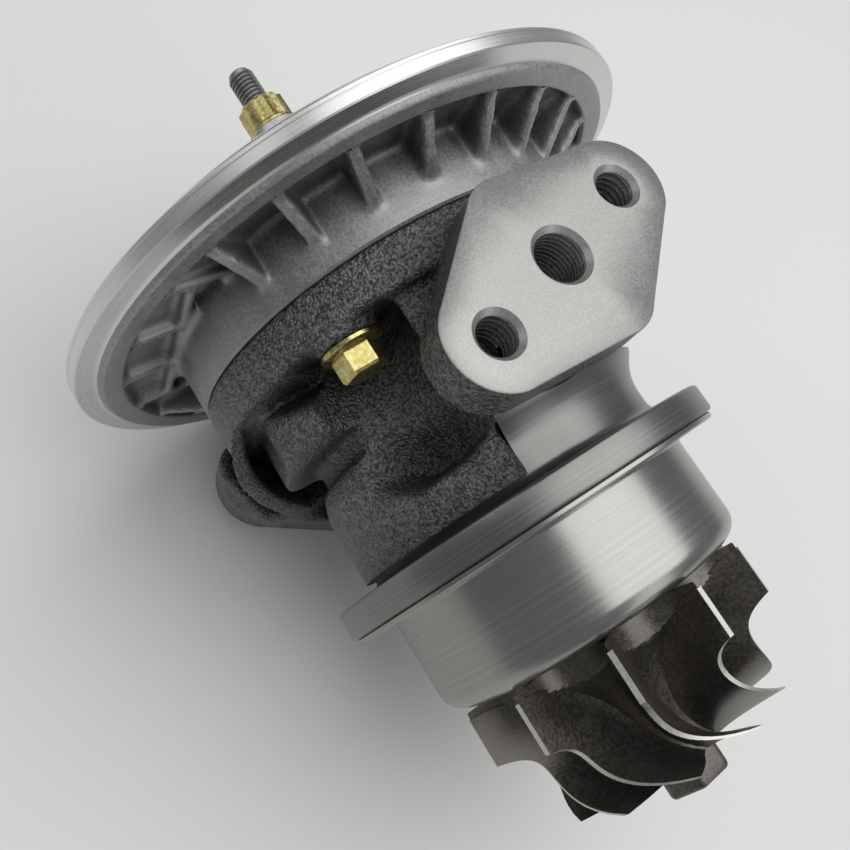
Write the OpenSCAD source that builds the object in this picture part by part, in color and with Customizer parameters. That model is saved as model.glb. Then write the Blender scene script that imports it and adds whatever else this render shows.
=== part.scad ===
// Turbocharger cartridge: bearing housing, ribbed backplate and a rotor on two floating bushes
// Sizes are in millimetres; the shaft lies along X, the turbine is at +X and the oil inlet at +Z
// The origin is on the shaft axis in the middle of the rim that locates the compressor cover

/* [Backplate] */
// Radius of the rim that locates in the compressor cover
rim_r = 61.7; // [60:0.1:64]
// Length of the rim's cylindrical band
rim_band = 3.3; // [2.6:0.1:4]
// Radius where the rim's sloping flank meets the raised ring
flank_r = 58.2; // [57.6:0.1:59]
// Rise of the sloping flank along the axis
flank_rise = 0.65; // [0.3:0.05:1]
// Outer radius of the raised ring
ring_outer_r = 57; // [56:0.1:57.4]
// Inner radius of the raised ring
ring_inner_r = 53; // [52:0.1:54]
// Height of the raised ring beyond the rim band
ring_rise = 2; // [1.5:0.1:2.6]
// Depth of the trough inside the raised ring
trough_depth = 2.6; // [1.8:0.1:3]
// Radius of the hub that carries the bearing housing
hub_r = 42.3; // [41:0.1:43.5]
// Height of the hub face beyond the raised ring
hub_rise = 10.4; // [9:0.1:12]
// Radius of the register that enters the compressor cover
cover_pilot_r = 57; // [55:0.1:57.5]
// Length of the register that enters the compressor cover
cover_pilot_len = 2.9; // [2.6:0.1:3.5]
// Radius of the recess behind the compressor wheel
recess_r = 36.3; // [36:0.1:38]
// Depth of the recess behind the compressor wheel
recess_depth = 6.15; // [5.8:0.05:6.4]
// Radius of the register that enters the bearing housing
pilot_r = 29.9; // [29:0.1:31]
// Length of the register that enters the bearing housing
pilot_len = 5; // [4.6:0.1:5.6]
// Radius of the oil cavity at the back
cavity_r = 25; // [24.4:0.1:25.6]
// Depth of the oil cavity below the hub face
cavity_depth = 2.65; // [2.5:0.05:2.9]

/* [Backplate ribs] */
// Angle between two gusset ribs
rib_pitch = 15; // [15:15:30]
// Angle of the first gusset rib
rib_start = 6; // [4:0.5:8]
// Thickness of a gusset rib
rib_t = 2.4; // [1.8:0.1:3]
// Height of a gusset rib on the hub beyond the raised ring
rib_rise = 6.1; // [4:0.1:8]
// Angle where the gusset ribs stop at the side boss
rib_gap_start = 150; // [148:1:154]
// Angle where the gusset ribs start again below the side boss
rib_gap_end = 212; // [208:1:214]
// Distance of the side boss wall from the axis
boss_y = 41.3; // [40.5:0.1:43]
// Half length of the side boss wall
boss_half = 22.8; // [20:0.1:23.5]
// Height of the side boss's middle above the axis
boss_lift = 1.2; // [0:0.1:2]
// Thickness of the side boss wall and its cross ribs
boss_t = 2; // [1.4:0.1:2.4]
// Number of cross ribs on the side boss
boss_ribs = 4; // [3:1:5]
// Height of the side boss wall above the trough floor
boss_rise = 2.5; // [1.5:0.1:5]
// Length of the side boss's end walls towards the hub
boss_root = 7.3; // [6:0.1:9]
// Slope of the raised ring's inner wall
ring_draft = 0.6; // [0.3:0.1:1]
// Drop of the ribs below the raised ring
rib_drop = 0.2; // [0.1:0.1:0.6]

/* [Bearing housing] */
// Length of the housing from the backplate joint to the turbine flange face
housing_len = 50.65; // [49:0.05:53]
// Thickness of the compressor end flange
band_len = 8.75; // [7.5:0.05:9.5]
// Radius of the shoulder behind the compressor end flange
shoulder_r = 39.7; // [38.5:0.1:40.5]
// Length of the shoulder
shoulder_len = 11.8; // [10.5:0.1:12.5]
// Radius of the shoulder's rounded edge
shoulder_round = 6; // [5:0.1:7]
// Radius of the waist between the shoulder and the drum
waist_r = 29.6; // [29:0.1:30.4]
// Radius of the cast drum where it leaves the waist
drum_start_r = 31.4; // [30.8:0.1:32.5]
// Radius of the cast drum at the turbine end
drum_r = 34.3; // [33.5:0.1:35.5]
// Distance of the drum's start ahead of the turbine flange face
drum_start = 25.5; // [24:0.1:27]
// Length of the cast drum
drum_len = 9.6; // [8:0.1:11]
// Width of the drum's chamfer towards the neck
drum_edge = 1; // [0.6:0.1:1.6]
// Radius of the machined neck
neck_r = 31.9; // [31:0.1:32.8]
// Radius of the fillet between neck and turbine flange
neck_fillet = 4.6; // [3.5:0.1:5.5]
// Radius of the turbine flange
flange_r = 40.2; // [39:0.1:42]
// Thickness of the turbine flange
flange_t = 5.4; // [4.5:0.1:6.5]
// Radius of the nose inside the heat shield
nose_r = 17; // [15.5:0.1:20]
// Length of the nose beyond the turbine flange face
nose_len = 15.3; // [14:0.1:16]
// Radius of the nose at its end
nose_tip_r = 14; // [13:0.1:15]
// Radius of the scooped pocket around each backplate bolt
scoop_r = 11; // [10:0.1:12]
// Distance of a scooped pocket's centre line from the axis
scoop_at = 37; // [36:0.1:38.5]
// Length of a scooped pocket up to its round end
scoop_len = 18.7; // [16:0.1:20]
// Depth that the scooped pockets are sunk into the end flange
scoop_sink = 0.5; // [0.3:0.1:1]

/* [Oil ports] */
// Distance of the port centre line from the backplate joint
port_from_joint = 19.28; // [18.5:0.02:20]
// Height of the oil inlet pad above the axis
inlet_z = 52.2; // [50:0.1:55]
// Distance from the axis down to the oil drain pad
drain_z = 46; // [45:0.1:48]
// Thickness of the inlet pad
pad_t = 9; // [8.6:0.1:11]
// Thickness of the drain pad
drain_pad_t = 8; // [7.5:0.1:8.2]
// Distance between the two bolt holes of the inlet pad
pad_spacing = 38.1; // [37:0.1:40]
// Distance between the two bolt holes of the drain pad
drain_spacing = 57; // [56:0.1:58]
// Angle of the pads' bolt lines from the Y direction
pad_angle = 20.4; // [15:0.1:25]
// Radius of the inlet pad around a bolt hole
lobe_r = 9.2; // [8.4:0.1:10]
// Radius of the drain pad around a bolt hole
drain_lobe_r = 10.8; // [9.5:0.1:11]
// Radius of the pads' side corners
side_r = 8; // [7:0.1:9]
// Distance of the side corners along the shaft from the pad centre
side_x = 8; // [7:0.1:9]
// Distance of the side corners across the shaft from the pad centre
side_y = 3.5; // [2:0.1:5]
// Radius of the columns below the pads
column_r = 14.6; // [13:0.1:15]
// Radius of the tapped oil inlet hole
inlet_hole_r = 4.45; // [4:0.05:5]
// Depth of the tapped oil inlet hole
inlet_depth = 13; // [11:0.5:15]
// Radius of the inlet pad's tapped bolt holes
pad_hole_r = 3.4; // [3:0.05:4]
// Depth of the inlet pad's tapped bolt holes
pad_hole_depth = 8.2; // [6:0.1:8.4]
// Radius of the drain pad's tapped bolt holes
drain_bolt_r = 2.5; // [2.1:0.05:3.2]
// Depth of the drain pad's tapped bolt holes
drain_bolt_depth = 6.6; // [5:0.1:7]
// Width of the lead chamfers at the tapped holes
lead_chamfer = 0.9; // [0.5:0.1:1.2]
// Radius of the oil drain hole
drain_hole_r = 9.5; // [8.5:0.1:10.5]
// Height of the wall that ties the drain pad to the end flange
skirt_h = 5; // [4:0.1:6]
// Radius of the wall's rounded corners
skirt_r = 6; // [5:0.1:7]
// Distance of the wall's front corners from the backplate joint
skirt_front = 6.6; // [6.4:0.1:8]
// Distance of the wall's rear corners from the backplate joint
skirt_rear = 15.4; // [14:0.1:17]
// Distance of the wall's front corners from the shaft plane
skirt_front_y = 31.5; // [30:0.1:33]
// Distance of the wall's rear corners from the shaft plane
skirt_rear_y = 29.5; // [28:0.1:31]
// Radius of the drilled oil feed
feed_r = 2; // [1.5:0.1:2.2]
// Height above the bush bore where the feed splits to the two bushes
feed_split = 10; // [8:0.5:12]
// Radius of the two drillings to the bushes
bush_feed_r = 1.5; // [1.2:0.1:1.8]
// Length of the oil chamber behind the turbine bush
chamber_len = 3.6; // [3:0.1:4]
// Depth of the oil chamber around the shaft's seal land
chamber_depth = 4.2; // [3.5:0.1:5]
// Depth of the oil space between the bushes
middle_depth = 4; // [3:0.1:5]
// Radius of the return channel below the bushes
return_r = 7; // [6:0.1:7.5]
// Distance of the return channel below the axis
return_z = 19; // [18.5:0.1:20]

/* [Shaft and bushes] */
// Radius of the bearing journals
journal_r = 5; // [4.6:0.05:5.4]
// Radius of the shaft between the journals
relief_r = 4.5; // [4:0.05:4.5]
// Radius of the shaft inside the compressor wheel
stub_r = 3.5; // [3.2:0.05:3.9]
// Radius over the nut thread
thread_r = 2.95; // [2.6:0.05:3.1]
// Length of thread that shows beyond the nut
thread_show = 9.7; // [6:0.1:12]
// Radius of the shaft's seal land and of the wheel stub
land_r = 8.9; // [8.5:0.05:9.3]
// Outer radius of a floating bush
bush_r = 8; // [7.6:0.05:8.3]
// Length of a floating bush
bush_len = 9; // [8:0.1:10]
// Distance between the two bushes from edge to same edge
bush_pitch = 27.1; // [26:0.1:28]
// Radius of the oil holes through a bush
bush_hole_r = 1.1; // [0.8:0.1:1.5]
// Number of oil holes around a bush
bush_holes = 6; // [4:1:8]
// Depth of the oil groove around a bush
bush_groove = 0.5; // [0.3:0.1:0.8]
// Thickness of a bush snap ring
snap_t = 1; // [0.8:0.05:1.2]
// Depth of a snap ring groove below the bush bore
snap_groove = 0.9; // [0.6:0.1:1.2]
// Height of a snap ring across its section
snap_h = 1.9; // [1.6:0.1:2.1]
// Wall between the collar recess and the first snap ring
snap_land = 0.7; // [0.5:0.05:1]

/* [Thrust bearing and seals] */
// Thickness of the thrust bearing
thrust_t = 3.5; // [3:0.1:3.8]
// Outer radius of the thrust bearing
thrust_r = 24; // [23:0.1:24.2]
// Radius of the thrust collar's hub
collar_hub_r = 6.5; // [6:0.1:7]
// Radius of the thrust faces
thrust_face_r = 9.8; // [9.2:0.1:10.2]
// Thickness of the thrust collar's flange
collar_t = 1.95; // [1.6:0.05:2.2]
// Thickness of the oil flinger's flange
flinger_t = 2.4; // [2:0.05:2.6]
// Radius of the oil flinger's sleeve
flinger_r = 8.3; // [8:0.05:8.6]
// Thickness of the oil baffle sheet
baffle_t = 1.2; // [0.8:0.1:1.4]
// Thickness of a piston ring
seal_t = 1.5; // [1.2:0.05:1.8]
// Height of a piston ring across its section
seal_h = 1.5; // [1.3:0.05:1.6]
// Opening between a piston ring's ends
seal_gap = 0.5; // [0.3:0.1:1]
// Distance of the compressor piston ring from the back of the wheel
front_seal_from = 4.6; // [4:0.1:6]
// Distance of the turbine piston ring from the end of the nose
rear_seal_from = 6.5; // [5:0.1:8]
// Section radius of the rubber rings
oring_r = 1.1; // [1:0.05:1.15]
// Height that the cover's rubber ring stands out of its groove
oring_proud = 0.2; // [0.1:0.05:0.3]
// Number of thrust bearing screws
screw_count = 3; // [3:1:3]
// Angle of the first thrust bearing screw
screw_start = 90; // [88:1:92]
// Distance of the thrust bearing screws from the axis
screw_at = 18.5; // [18:0.1:19]
// Radius of a thrust bearing screw
screw_r = 2; // [1.75:0.05:2.3]
// Radius of a thrust bearing screw's head
screw_head_r = 3.4; // [3:0.1:3.8]
// Height of a thrust bearing screw's head
screw_head_t = 1.8; // [1.5:0.1:2.2]
// Length of a thrust bearing screw in the housing
screw_len = 6; // [5:0.1:7]

/* [Heat shield] */
// Outer radius of the heat shield's cup
shield_r = 31.9; // [31:0.1:33]
// Depth of the heat shield's cup
shield_depth = 20.5; // [19.5:0.1:22]
// Thickness of the heat shield's sheet
shield_t = 1.2; // [0.9:0.1:1.5]
// Radius of the cup's rounded corner
shield_corner = 4; // [3:0.1:5]
// Outer radius of the clamped lip
shield_lip_r = 39.4; // [38:0.1:39.8]
// Radius of the hole in the cup's bottom
shield_hole_r = 12.5; // [12:0.1:14]

/* [Turbine wheel] */
// Number of turbine blades
turbine_blades = 10; // [9:1:11]
// Tip radius of the turbine blades at their leading edges
turbine_r = 29.9; // [29:0.1:31]
// Length of a leading edge along the shaft
lead_len = 10.2; // [9:0.1:11.5]
// Tip radius of the turbine blades at their outlet
outlet_r = 22.5; // [21.5:0.1:24]
// Length of the turbine blades along the shaft
turbine_len = 25.5; // [24:0.1:27]
// Sharpness of the turn from leading edge to outlet
shroud_power = 8; // [5:1:10]
// Turn of the turbine blades at their outlet
outlet_turn = 37.7; // [30:0.1:42]
// Power of the turn along the turbine blades
turn_power = 3.4; // [2.5:0.1:4]
// Radius of the turbine hub at the outlet
turbine_hub_r = 8; // [7.4:0.1:9]
// Thickness of the turbine back disc at its edge
disc_t = 2; // [1.6:0.1:2.4]
// Radius of a scallop cut in the back disc
scallop_r = 6; // [5:0.1:6.5]
// Distance of a scallop's centre from the axis
scallop_at = 28; // [27:0.1:29]
// Thickness of a turbine blade at the hub
turbine_root_t = 2.6; // [2:0.1:3]
// Thickness of a turbine blade at the tip
turbine_tip_t = 1.2; // [0.9:0.1:1.6]
// Angle of the first turbine blade
turbine_start = 13.8; // [10:0.1:18]
// Length of the nose boss beyond the blades
boss_len = 6.8; // [5:0.1:9]
// Length of the turbine hub beyond the blades
hub_past = 1.5; // [1:0.1:2]
// Length and height of the slope from the wheel stub to the back disc
back_slope = 2; // [1.5:0.1:3]
// Distance of the welded joint from the end of the housing's nose
weld_from = 1; // [0.6:0.1:2]
// Radius of the nose boss
boss_r = 6.9; // [6:0.1:7.2]

/* [Compressor wheel] */
// Number of full compressor blades
compressor_blades = 6; // [5:1:7]
// Outlet radius of the compressor wheel
compressor_r = 35; // [33:0.1:35.4]
// Tip radius of the compressor blades at their inlet
inducer_r = 21.3; // [19:0.1:22]
// Height of the compressor blades at the outlet
outlet_h = 4.6; // [3.5:0.1:5.5]
// Length of the compressor blades along the shaft
compressor_len = 22.3; // [20:0.1:23]
// Thickness of the compressor wheel's disc at its edge
compressor_disc_t = 1.4; // [1.1:0.1:2]
// Radius of the compressor hub at the inlet
compressor_hub_r = 7.6; // [7:0.1:8.5]
// Turn of the compressor blades at the inlet
inlet_turn = 36; // [28:0.5:42]
// Power of the turn along the compressor blades
inlet_power = 1.8; // [1.5:0.1:2.2]
// Turn of the compressor blades at the outlet
back_turn = 22; // [15:0.5:30]
// Share of a full blade's length that a splitter leaves out
splitter_start = 0.34; // [0.25:0.01:0.45]
// Thickness of a compressor blade at the hub
compressor_root_t = 1.8; // [1.4:0.1:2.2]
// Thickness of a compressor blade at the tip
compressor_tip_t = 0.8; // [0.6:0.05:1.1]
// Length of the compressor hub's nose beyond the blades
compressor_nose = 10.5; // [9.5:0.1:12]
// Length of the slope from the compressor hub to its nose
nose_slope = 1.5; // [1:0.1:2]
// Radius of the compressor hub's nose
compressor_nose_r = 6.7; // [6:0.1:7]

/* [Fasteners] */
// Distance of the backplate bolts from the axis
bolt_at = 35.5; // [35:0.1:35.8]
// Number of backplate bolts
bolt_count = 4; // [4:1:4]
// Radius of a backplate bolt's shank
bolt_r = 3; // [2.5:0.1:3.3]
// Width of a backplate bolt's head across its flats
bolt_flats = 7.6; // [7:0.1:9]
// Angle of a backplate bolt head's first corner
bolt_turn = 33; // [0:1:59]
// Radius of a backplate bolt's flange
bolt_flange_r = 5.9; // [5.4:0.1:6.4]
// Thickness of a backplate bolt's flange
bolt_flange_t = 1.3; // [1:0.1:1.8]
// Height of a backplate bolt's head above its flange
bolt_head_t = 4.2; // [3.5:0.1:5]
// Length of a backplate bolt in the backplate
bolt_reach = 8; // [7:0.1:9]
// Height of the bolt seats in the scooped pockets
bolt_seat = 1.4; // [0.8:0.1:2.4]
// Width of the shaft nut across its points
nut_points = 10.6; // [10:0.1:11]
// Angle of the shaft nut's first point
nut_turn = 10; // [0:1:29]
// Height of the shaft nut
nut_h = 7.4; // [6.5:0.1:8]
// Radius of the shaft nut's flange
nut_flange_r = 5.8; // [5.6:0.1:6.4]
// Thickness of the shaft nut's flange
nut_flange_t = 1.6; // [1.2:0.1:2]

/* [Clearances] */
// Radial clearance of the shaft in a bush
journal_gap = 0.04; // [0.03:0.01:0.06]
// Radial clearance of a bush in the housing
bush_gap = 0.05; // [0.03:0.01:0.08]
// Axial clearance of the thrust faces
thrust_gap = 0.06; // [0.04:0.01:0.08]
// Axial clearance between a bush and its snap rings
bush_float = 0.3; // [0.2:0.05:0.4]
// Clearance of wheels, collar and nut on the shaft
seat_gap = 0.02; // [0.01:0.01:0.04]
// Radial clearance of the backplate register in the housing
pilot_gap = 0.03; // [0.02:0.01:0.05]
// Gap between a rotating piece and its fixed neighbour
run_gap = 0.4; // [0.3:0.05:0.5]
// Side clearance of a piston ring in its groove
groove_gap = 0.08; // [0.05:0.01:0.1]
// Gap between the back of a wheel and its fixed neighbour
wheel_gap = 0.8; // [0.6:0.05:1]
// Radial clearance of the backplate bolts in the housing
bolt_gap = 0.3; // [0.2:0.05:0.5]
// Radial room under a piston ring in its groove
ring_room = 0.3; // [0.2:0.05:0.4]
// Clearance of a rubber ring in its groove
oring_gap = 0.03; // [0.02:0.01:0.06]

/* [Hidden] */
$fn = 96;

// Length that a cutter or a buried end goes past a face
cut = 1;
// Share of a corner's radius where an outline's straight sides meet it
tuck = 0.995;
// Length that two drawn pieces of one solid share
merge = 0.5;

// Stations along the shaft from the compressor cover to the turbine
rim_front = -rim_band / 2;
rim_back = rim_band / 2;
ring_x = rim_back + ring_rise;
floor_x = ring_x - trough_depth;
face_x = rim_front - cover_pilot_len;
recess_x = face_x + recess_depth;
joint_x = ring_x + hub_rise;
cavity_x = joint_x - cavity_depth;
pilot_end = joint_x + pilot_len;
seat_x = pilot_end + run_gap;
thrust_x = seat_x - thrust_t;
collar_x = seat_x + thrust_gap;
shoulder_x = collar_x + collar_t;
collar_recess_x = shoulder_x + run_gap;
wheel_back = recess_x - wheel_gap;
flinger_end = thrust_x - thrust_gap;
snap_a = collar_recess_x + snap_land;
bush_a = snap_a + snap_t + bush_float;
snap_b = bush_a + bush_len + bush_float;
bush_b = bush_a + bush_pitch;
snap_c = bush_b - bush_float - snap_t;
snap_d = bush_b + bush_len + bush_float;
flange_face = joint_x + housing_len;
flange_front = flange_face - flange_t;
drum_x = flange_face - drum_start;
band_end = joint_x + band_len;
shoulder_end = band_end + shoulder_len;
drum_end = drum_x + drum_len;
// The scooped pockets are sunk a little into the end flange
scoop_x = band_end - scoop_sink;
port_x = joint_x + port_from_joint;
nose_end = flange_face + nose_len;
shield_bottom = flange_face + shield_depth;
turbine_back = shield_bottom + wheel_gap;
bolt_seat_x = band_end + bolt_seat;
// The oil chamber behind the turbine bush starts after the last snap ring
chamber_x = snap_d + snap_t + snap_land;
chamber_end = chamber_x + chamber_len;
chamber_r = land_r + chamber_depth;
compressor_front = wheel_back - compressor_disc_t - compressor_len;
compressor_tip = compressor_front - compressor_nose;
nut_tip = compressor_tip - nut_h;
shaft_tip = nut_tip - thread_show;
weld_x = nose_end - weld_from;
// Bores that share a size with the piece that runs or sits in them
bush_bore_r = bush_r + bush_gap;
register_r = pilot_r + pilot_gap;
front_bore_r = flinger_r + run_gap;
rear_bore_r = land_r + run_gap;
collar_recess_r = thrust_face_r + 3 * run_gap;
pilot_groove_r = register_r - 2 * (oring_r + oring_gap);
cover_groove_r = cover_pilot_r - 2 * oring_r + oring_proud;
scoop_angles = [45, 135, 225, 315];
// Height above the axis where the columns start inside the body
column_root = 11.5;
// Share by which the drillings to the bushes go past the bore wall
past_wall = 1.35;
// Turn between the two hexagons that make the shaft nut's twelve points
hexagon_turn = 30;

// Solid turned about the shaft from a section drawn as radius and position
module turned() {
    rotate([0, 90, 0]) rotate_extrude() children();
}

// Round bar along the shaft between two positions
module bar(r, x0, x1) {
    translate([x0, 0, 0]) rotate([0, 90, 0]) cylinder(r = r, h = x1 - x0);
}

// Rectangle of a turned section between two radii and two positions
module span(r0, r1, x0, x1) {
    translate([r0, x0]) square([r1 - r0, x1 - x0]);
}

// Children placed at a radius and repeated around the shaft
module around(count, start, at) {
    for (k = [0 : count - 1])
        rotate([start + k * 360 / count, 0, 0]) translate([0, at, 0]) children();
}

// Hole along -Z with a lead chamfer, its mouth at the given place
module tapped_hole(place, r, depth) {
    translate(place) {
        translate([0, 0, -depth]) cylinder(r = r, h = depth + cut);
        translate([0, 0, -lead_chamfer]) cylinder(r1 = r, r2 = r + 2 * lead_chamfer, h = 2 * lead_chamfer);
    }
}

// Drilled hole between two points in the plane of the shaft and the oil inlet
module drilling(from, to, r) {
    turn = atan2(to[0] - from[0], to[2] - from[2]);
    translate(from) rotate([0, turn, 0]) cylinder(r = r, h = norm(to - from));
}

// Points where an outer tangent touches two circles, on the right of the way from one to the other
function tangent_points(p, rp, q, rq) =
    let (d = q - p, a = atan2(d[1], d[0]) - acos((rp - rq) / norm(d)))
    [p + rp * [cos(a), sin(a)], q + rq * [cos(a), sin(a)]];

// Rounded outline around circles that are listed anticlockwise
module outline(centres, radii) {
    n = len(centres);
    inner = tuck * radii;
    polygon([for (k = [0 : n - 1], f = [0, 1])
        tangent_points(centres[k], inner[k], centres[(k + 1) % n], inner[(k + 1) % n])[f]]);
    for (k = [0 : n - 1])
        translate(centres[k]) circle(r = radii[k]);
}

// Bolt hole places of the pads, measured from the pad centres
inlet_lobe = pad_spacing / 2 * [sin(pad_angle), -cos(pad_angle)];
drain_lobe = drain_spacing / 2 * [-sin(pad_angle), -cos(pad_angle)];

// Outline of the oil inlet pad
module inlet_outline() {
    corner = [side_x, side_y];
    outline([inlet_lobe, corner, -inlet_lobe, -corner], [lobe_r, side_r, lobe_r, side_r]);
}

// Outline of the oil drain pad
module drain_outline() {
    corner = [side_x, -side_y];
    outline([drain_lobe, corner, -drain_lobe, -corner], [drain_lobe_r, side_r, drain_lobe_r, side_r]);
}

// Outline of the wall that ties the drain pad to the end flange
module skirt_outline() {
    front = joint_x + skirt_front;
    rear = joint_x + skirt_rear;
    outline([[front, -skirt_front_y], [rear, -skirt_rear_y], [rear, skirt_rear_y], [front, skirt_front_y]],
        [skirt_r, skirt_r, skirt_r, skirt_r]);
}

// Piston ring with its ends apart, from its outer radius inward
module piston_ring(outer_r, x0) {
    difference() {
        turned() span(outer_r - seal_h, outer_r, x0, x0 + seal_t);
        translate([x0 - cut, 0, -seal_gap / 2]) cube([seal_t + 2 * cut, outer_r + cut, seal_gap]);
    }
}

// Groove in a turning piece for a piston ring that stands still in its bore
module ring_groove(land, x0) {
    span(land + run_gap - seal_h - ring_room, land + cut, x0 - groove_gap, x0 + seal_t + groove_gap);
}

// Snap ring that fills its groove in the bush bore, with the gap for the pliers
module snap_ring(x0) {
    outer_r = bush_bore_r + snap_groove;
    difference() {
        turned() span(outer_r - snap_h, outer_r, x0, x0 + snap_t);
        translate([x0 - cut, 0, -journal_r / 2]) cube([snap_t + 2 * cut, outer_r + cut, journal_r]);
    }
}

// Floating bush with oil holes around its middle
module bush(x0) {
    middle = x0 + bush_len / 2;
    difference() {
        turned() difference() {
            span(journal_r + journal_gap, bush_r, x0, x0 + bush_len);
            span(bush_r - bush_groove, bush_r + cut, middle - 2 * bush_hole_r, middle + 2 * bush_hole_r);
        }
        for (k = [0 : bush_holes - 1])
            rotate([k * 360 / bush_holes, 0, 0]) translate([middle, 0, 0])
                cylinder(r = bush_hole_r, h = bush_r + cut);
    }
}

// Faces that close a blade from two grids of points, one for each side
function grid_faces(n, m) =
    let (w = m + 1, h = (n + 1) * (m + 1))
    concat(
        [for (i = [0 : n - 1], j = [0 : m - 1], f = [0, 1]) f == 0
            ? [i * w + j, (i + 1) * w + j, (i + 1) * w + j + 1]
            : [i * w + j, (i + 1) * w + j + 1, i * w + j + 1]],
        [for (i = [0 : n - 1], j = [0 : m - 1], f = [0, 1]) f == 0
            ? [h + i * w + j, h + (i + 1) * w + j + 1, h + (i + 1) * w + j]
            : [h + i * w + j, h + i * w + j + 1, h + (i + 1) * w + j + 1]],
        [for (i = [0 : n - 1], f = [0, 1]) f == 0
            ? [i * w, h + i * w, h + (i + 1) * w]
            : [i * w, h + (i + 1) * w, (i + 1) * w]],
        [for (i = [0 : n - 1], f = [0, 1]) f == 0
            ? [i * w + m, (i + 1) * w + m, h + (i + 1) * w + m]
            : [i * w + m, h + (i + 1) * w + m, h + i * w + m]],
        [for (j = [0 : m - 1], f = [0, 1]) f == 0
            ? [j, j + 1, h + j + 1]
            : [j, h + j + 1, h + j]],
        [for (j = [0 : m - 1], f = [0, 1]) f == 0
            ? [n * w + j, h + n * w + j + 1, n * w + j + 1]
            : [n * w + j, h + n * w + j, h + n * w + j + 1]]);

// Point at a radius, position and angle, moved sideways by half the blade's thickness
function blade_point(x, r, turn, half) =
    let (a = turn + half / r * 180 / PI)
    [x, r * cos(a), r * sin(a)];

function blend(a, b, t) = a + (b - a) * t;

blade_steps = 9;
blade_rows = 3;
// Depth that the blade roots reach into a hub
root_sink = 0.8;
// Depth of the turned hub below the blades' root curve
hub_inset = 0.3;

// Turbine hub curve as radius and position for a share of the blade's length
turbine_hub_end = turbine_back + turbine_len + hub_past;
function turbine_hub(t) = [
    turbine_r - (turbine_r - turbine_hub_r) * sin(90 * t),
    turbine_hub_end - (turbine_hub_end - turbine_back - disc_t) * cos(90 * t)];

// Turbine tip curve, a sharp turn after the leading edge and then nearly straight
function turbine_tip(t) = [
    outlet_r + (turbine_r - outlet_r) * pow(1 - t * t, shroud_power),
    turbine_back + lead_len + (turbine_len - lead_len) * t * t];

// Turn of the turbine blades at a position along the shaft
function turbine_turn(x) =
    -outlet_turn * pow(max(0, (x - turbine_back - lead_len) / (turbine_len - lead_len)), turn_power);

function turbine_grid(side) = [for (i = [0 : blade_steps], j = [0 : blade_rows])
    let (t = i / blade_steps, s = j / blade_rows)
    let (a = turbine_hub(t) - root_sink * [cos(90 * (1 - t)), cos(90 * t)], b = turbine_tip(t))
    let (r = blend(a[0], b[0], s), x = blend(a[1], b[1], s))
    blade_point(x, r, turbine_turn(x), side * blend(turbine_root_t, turbine_tip_t, s) / 2)];

// Compressor hub curve as radius and position for a share of the blade's length
function compressor_hub(t) = [
    compressor_r - (compressor_r - compressor_hub_r) * cos(90 * t),
    compressor_front + compressor_len * sin(90 * t)];

function compressor_tip_curve(t) = [
    compressor_r - (compressor_r - inducer_r) * cos(90 * t),
    compressor_front + (compressor_len - outlet_h) * sin(90 * t)];

// Turn of the compressor blades, forward at the inlet and backward at the outlet
function compressor_turn(t) = inlet_turn * pow(1 - t, inlet_power) - back_turn * t * t;

function compressor_grid(side, start) = [for (i = [0 : blade_steps], j = [0 : blade_rows])
    let (t = blend(start, 1, i / blade_steps), s = j / blade_rows)
    let (a = compressor_hub(t) + root_sink * [-cos(90 * t), sin(90 * t)], b = compressor_tip_curve(t))
    let (r = blend(a[0], b[0], s), x = blend(a[1], b[1], s))
    blade_point(x, r, compressor_turn(t), side * blend(compressor_root_t, compressor_tip_t, s) / 2)];

// Bearing housing: cast iron body with pads, scooped bolt pockets, oil passages and turbine flange
module housing_section() {
    difference() {
        union() {
            span(0, hub_r, joint_x, band_end);
            span(0, waist_r, band_end, flange_front);
            span(0, shoulder_r, band_end, shoulder_end - shoulder_round);
            span(0, shoulder_r - shoulder_round, band_end, shoulder_end);
            translate([shoulder_r - shoulder_round, shoulder_end - shoulder_round])
                circle(r = shoulder_round);
            polygon([[0, drum_x], [drum_start_r, drum_x], [drum_r, drum_end - drum_edge],
                [drum_r - drum_edge, drum_end], [0, drum_end]]);
            span(0, neck_r, drum_end, flange_front);
            span(0, neck_r + neck_fillet, flange_front - neck_fillet, flange_front);
            span(0, flange_r, flange_front, flange_face);
            polygon([[0, flange_face], [nose_r, flange_face], [nose_r, flange_face + nose_len / 2],
                [nose_tip_r, nose_end], [0, nose_end]]);
        }
        translate([neck_r + neck_fillet, flange_front - neck_fillet]) circle(r = neck_fillet);
    }
}

module housing_bores() {
    bar(register_r, joint_x - cut, seat_x);
    bar(collar_recess_r, seat_x - cut, collar_recess_x);
    bar(bush_bore_r, seat_x, chamber_x + cut);
    bar(rear_bore_r, chamber_x, nose_end + cut);
    bar(chamber_r, chamber_x, chamber_end);
    bar(bush_r + middle_depth, snap_b + snap_t + snap_land, snap_c - snap_land);
    for (x = [snap_a, snap_b, snap_c, snap_d])
        bar(bush_bore_r + snap_groove, x, x + snap_t);
    translate([0, 0, -return_z]) bar(return_r, seat_x - cut, chamber_end);
}

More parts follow.
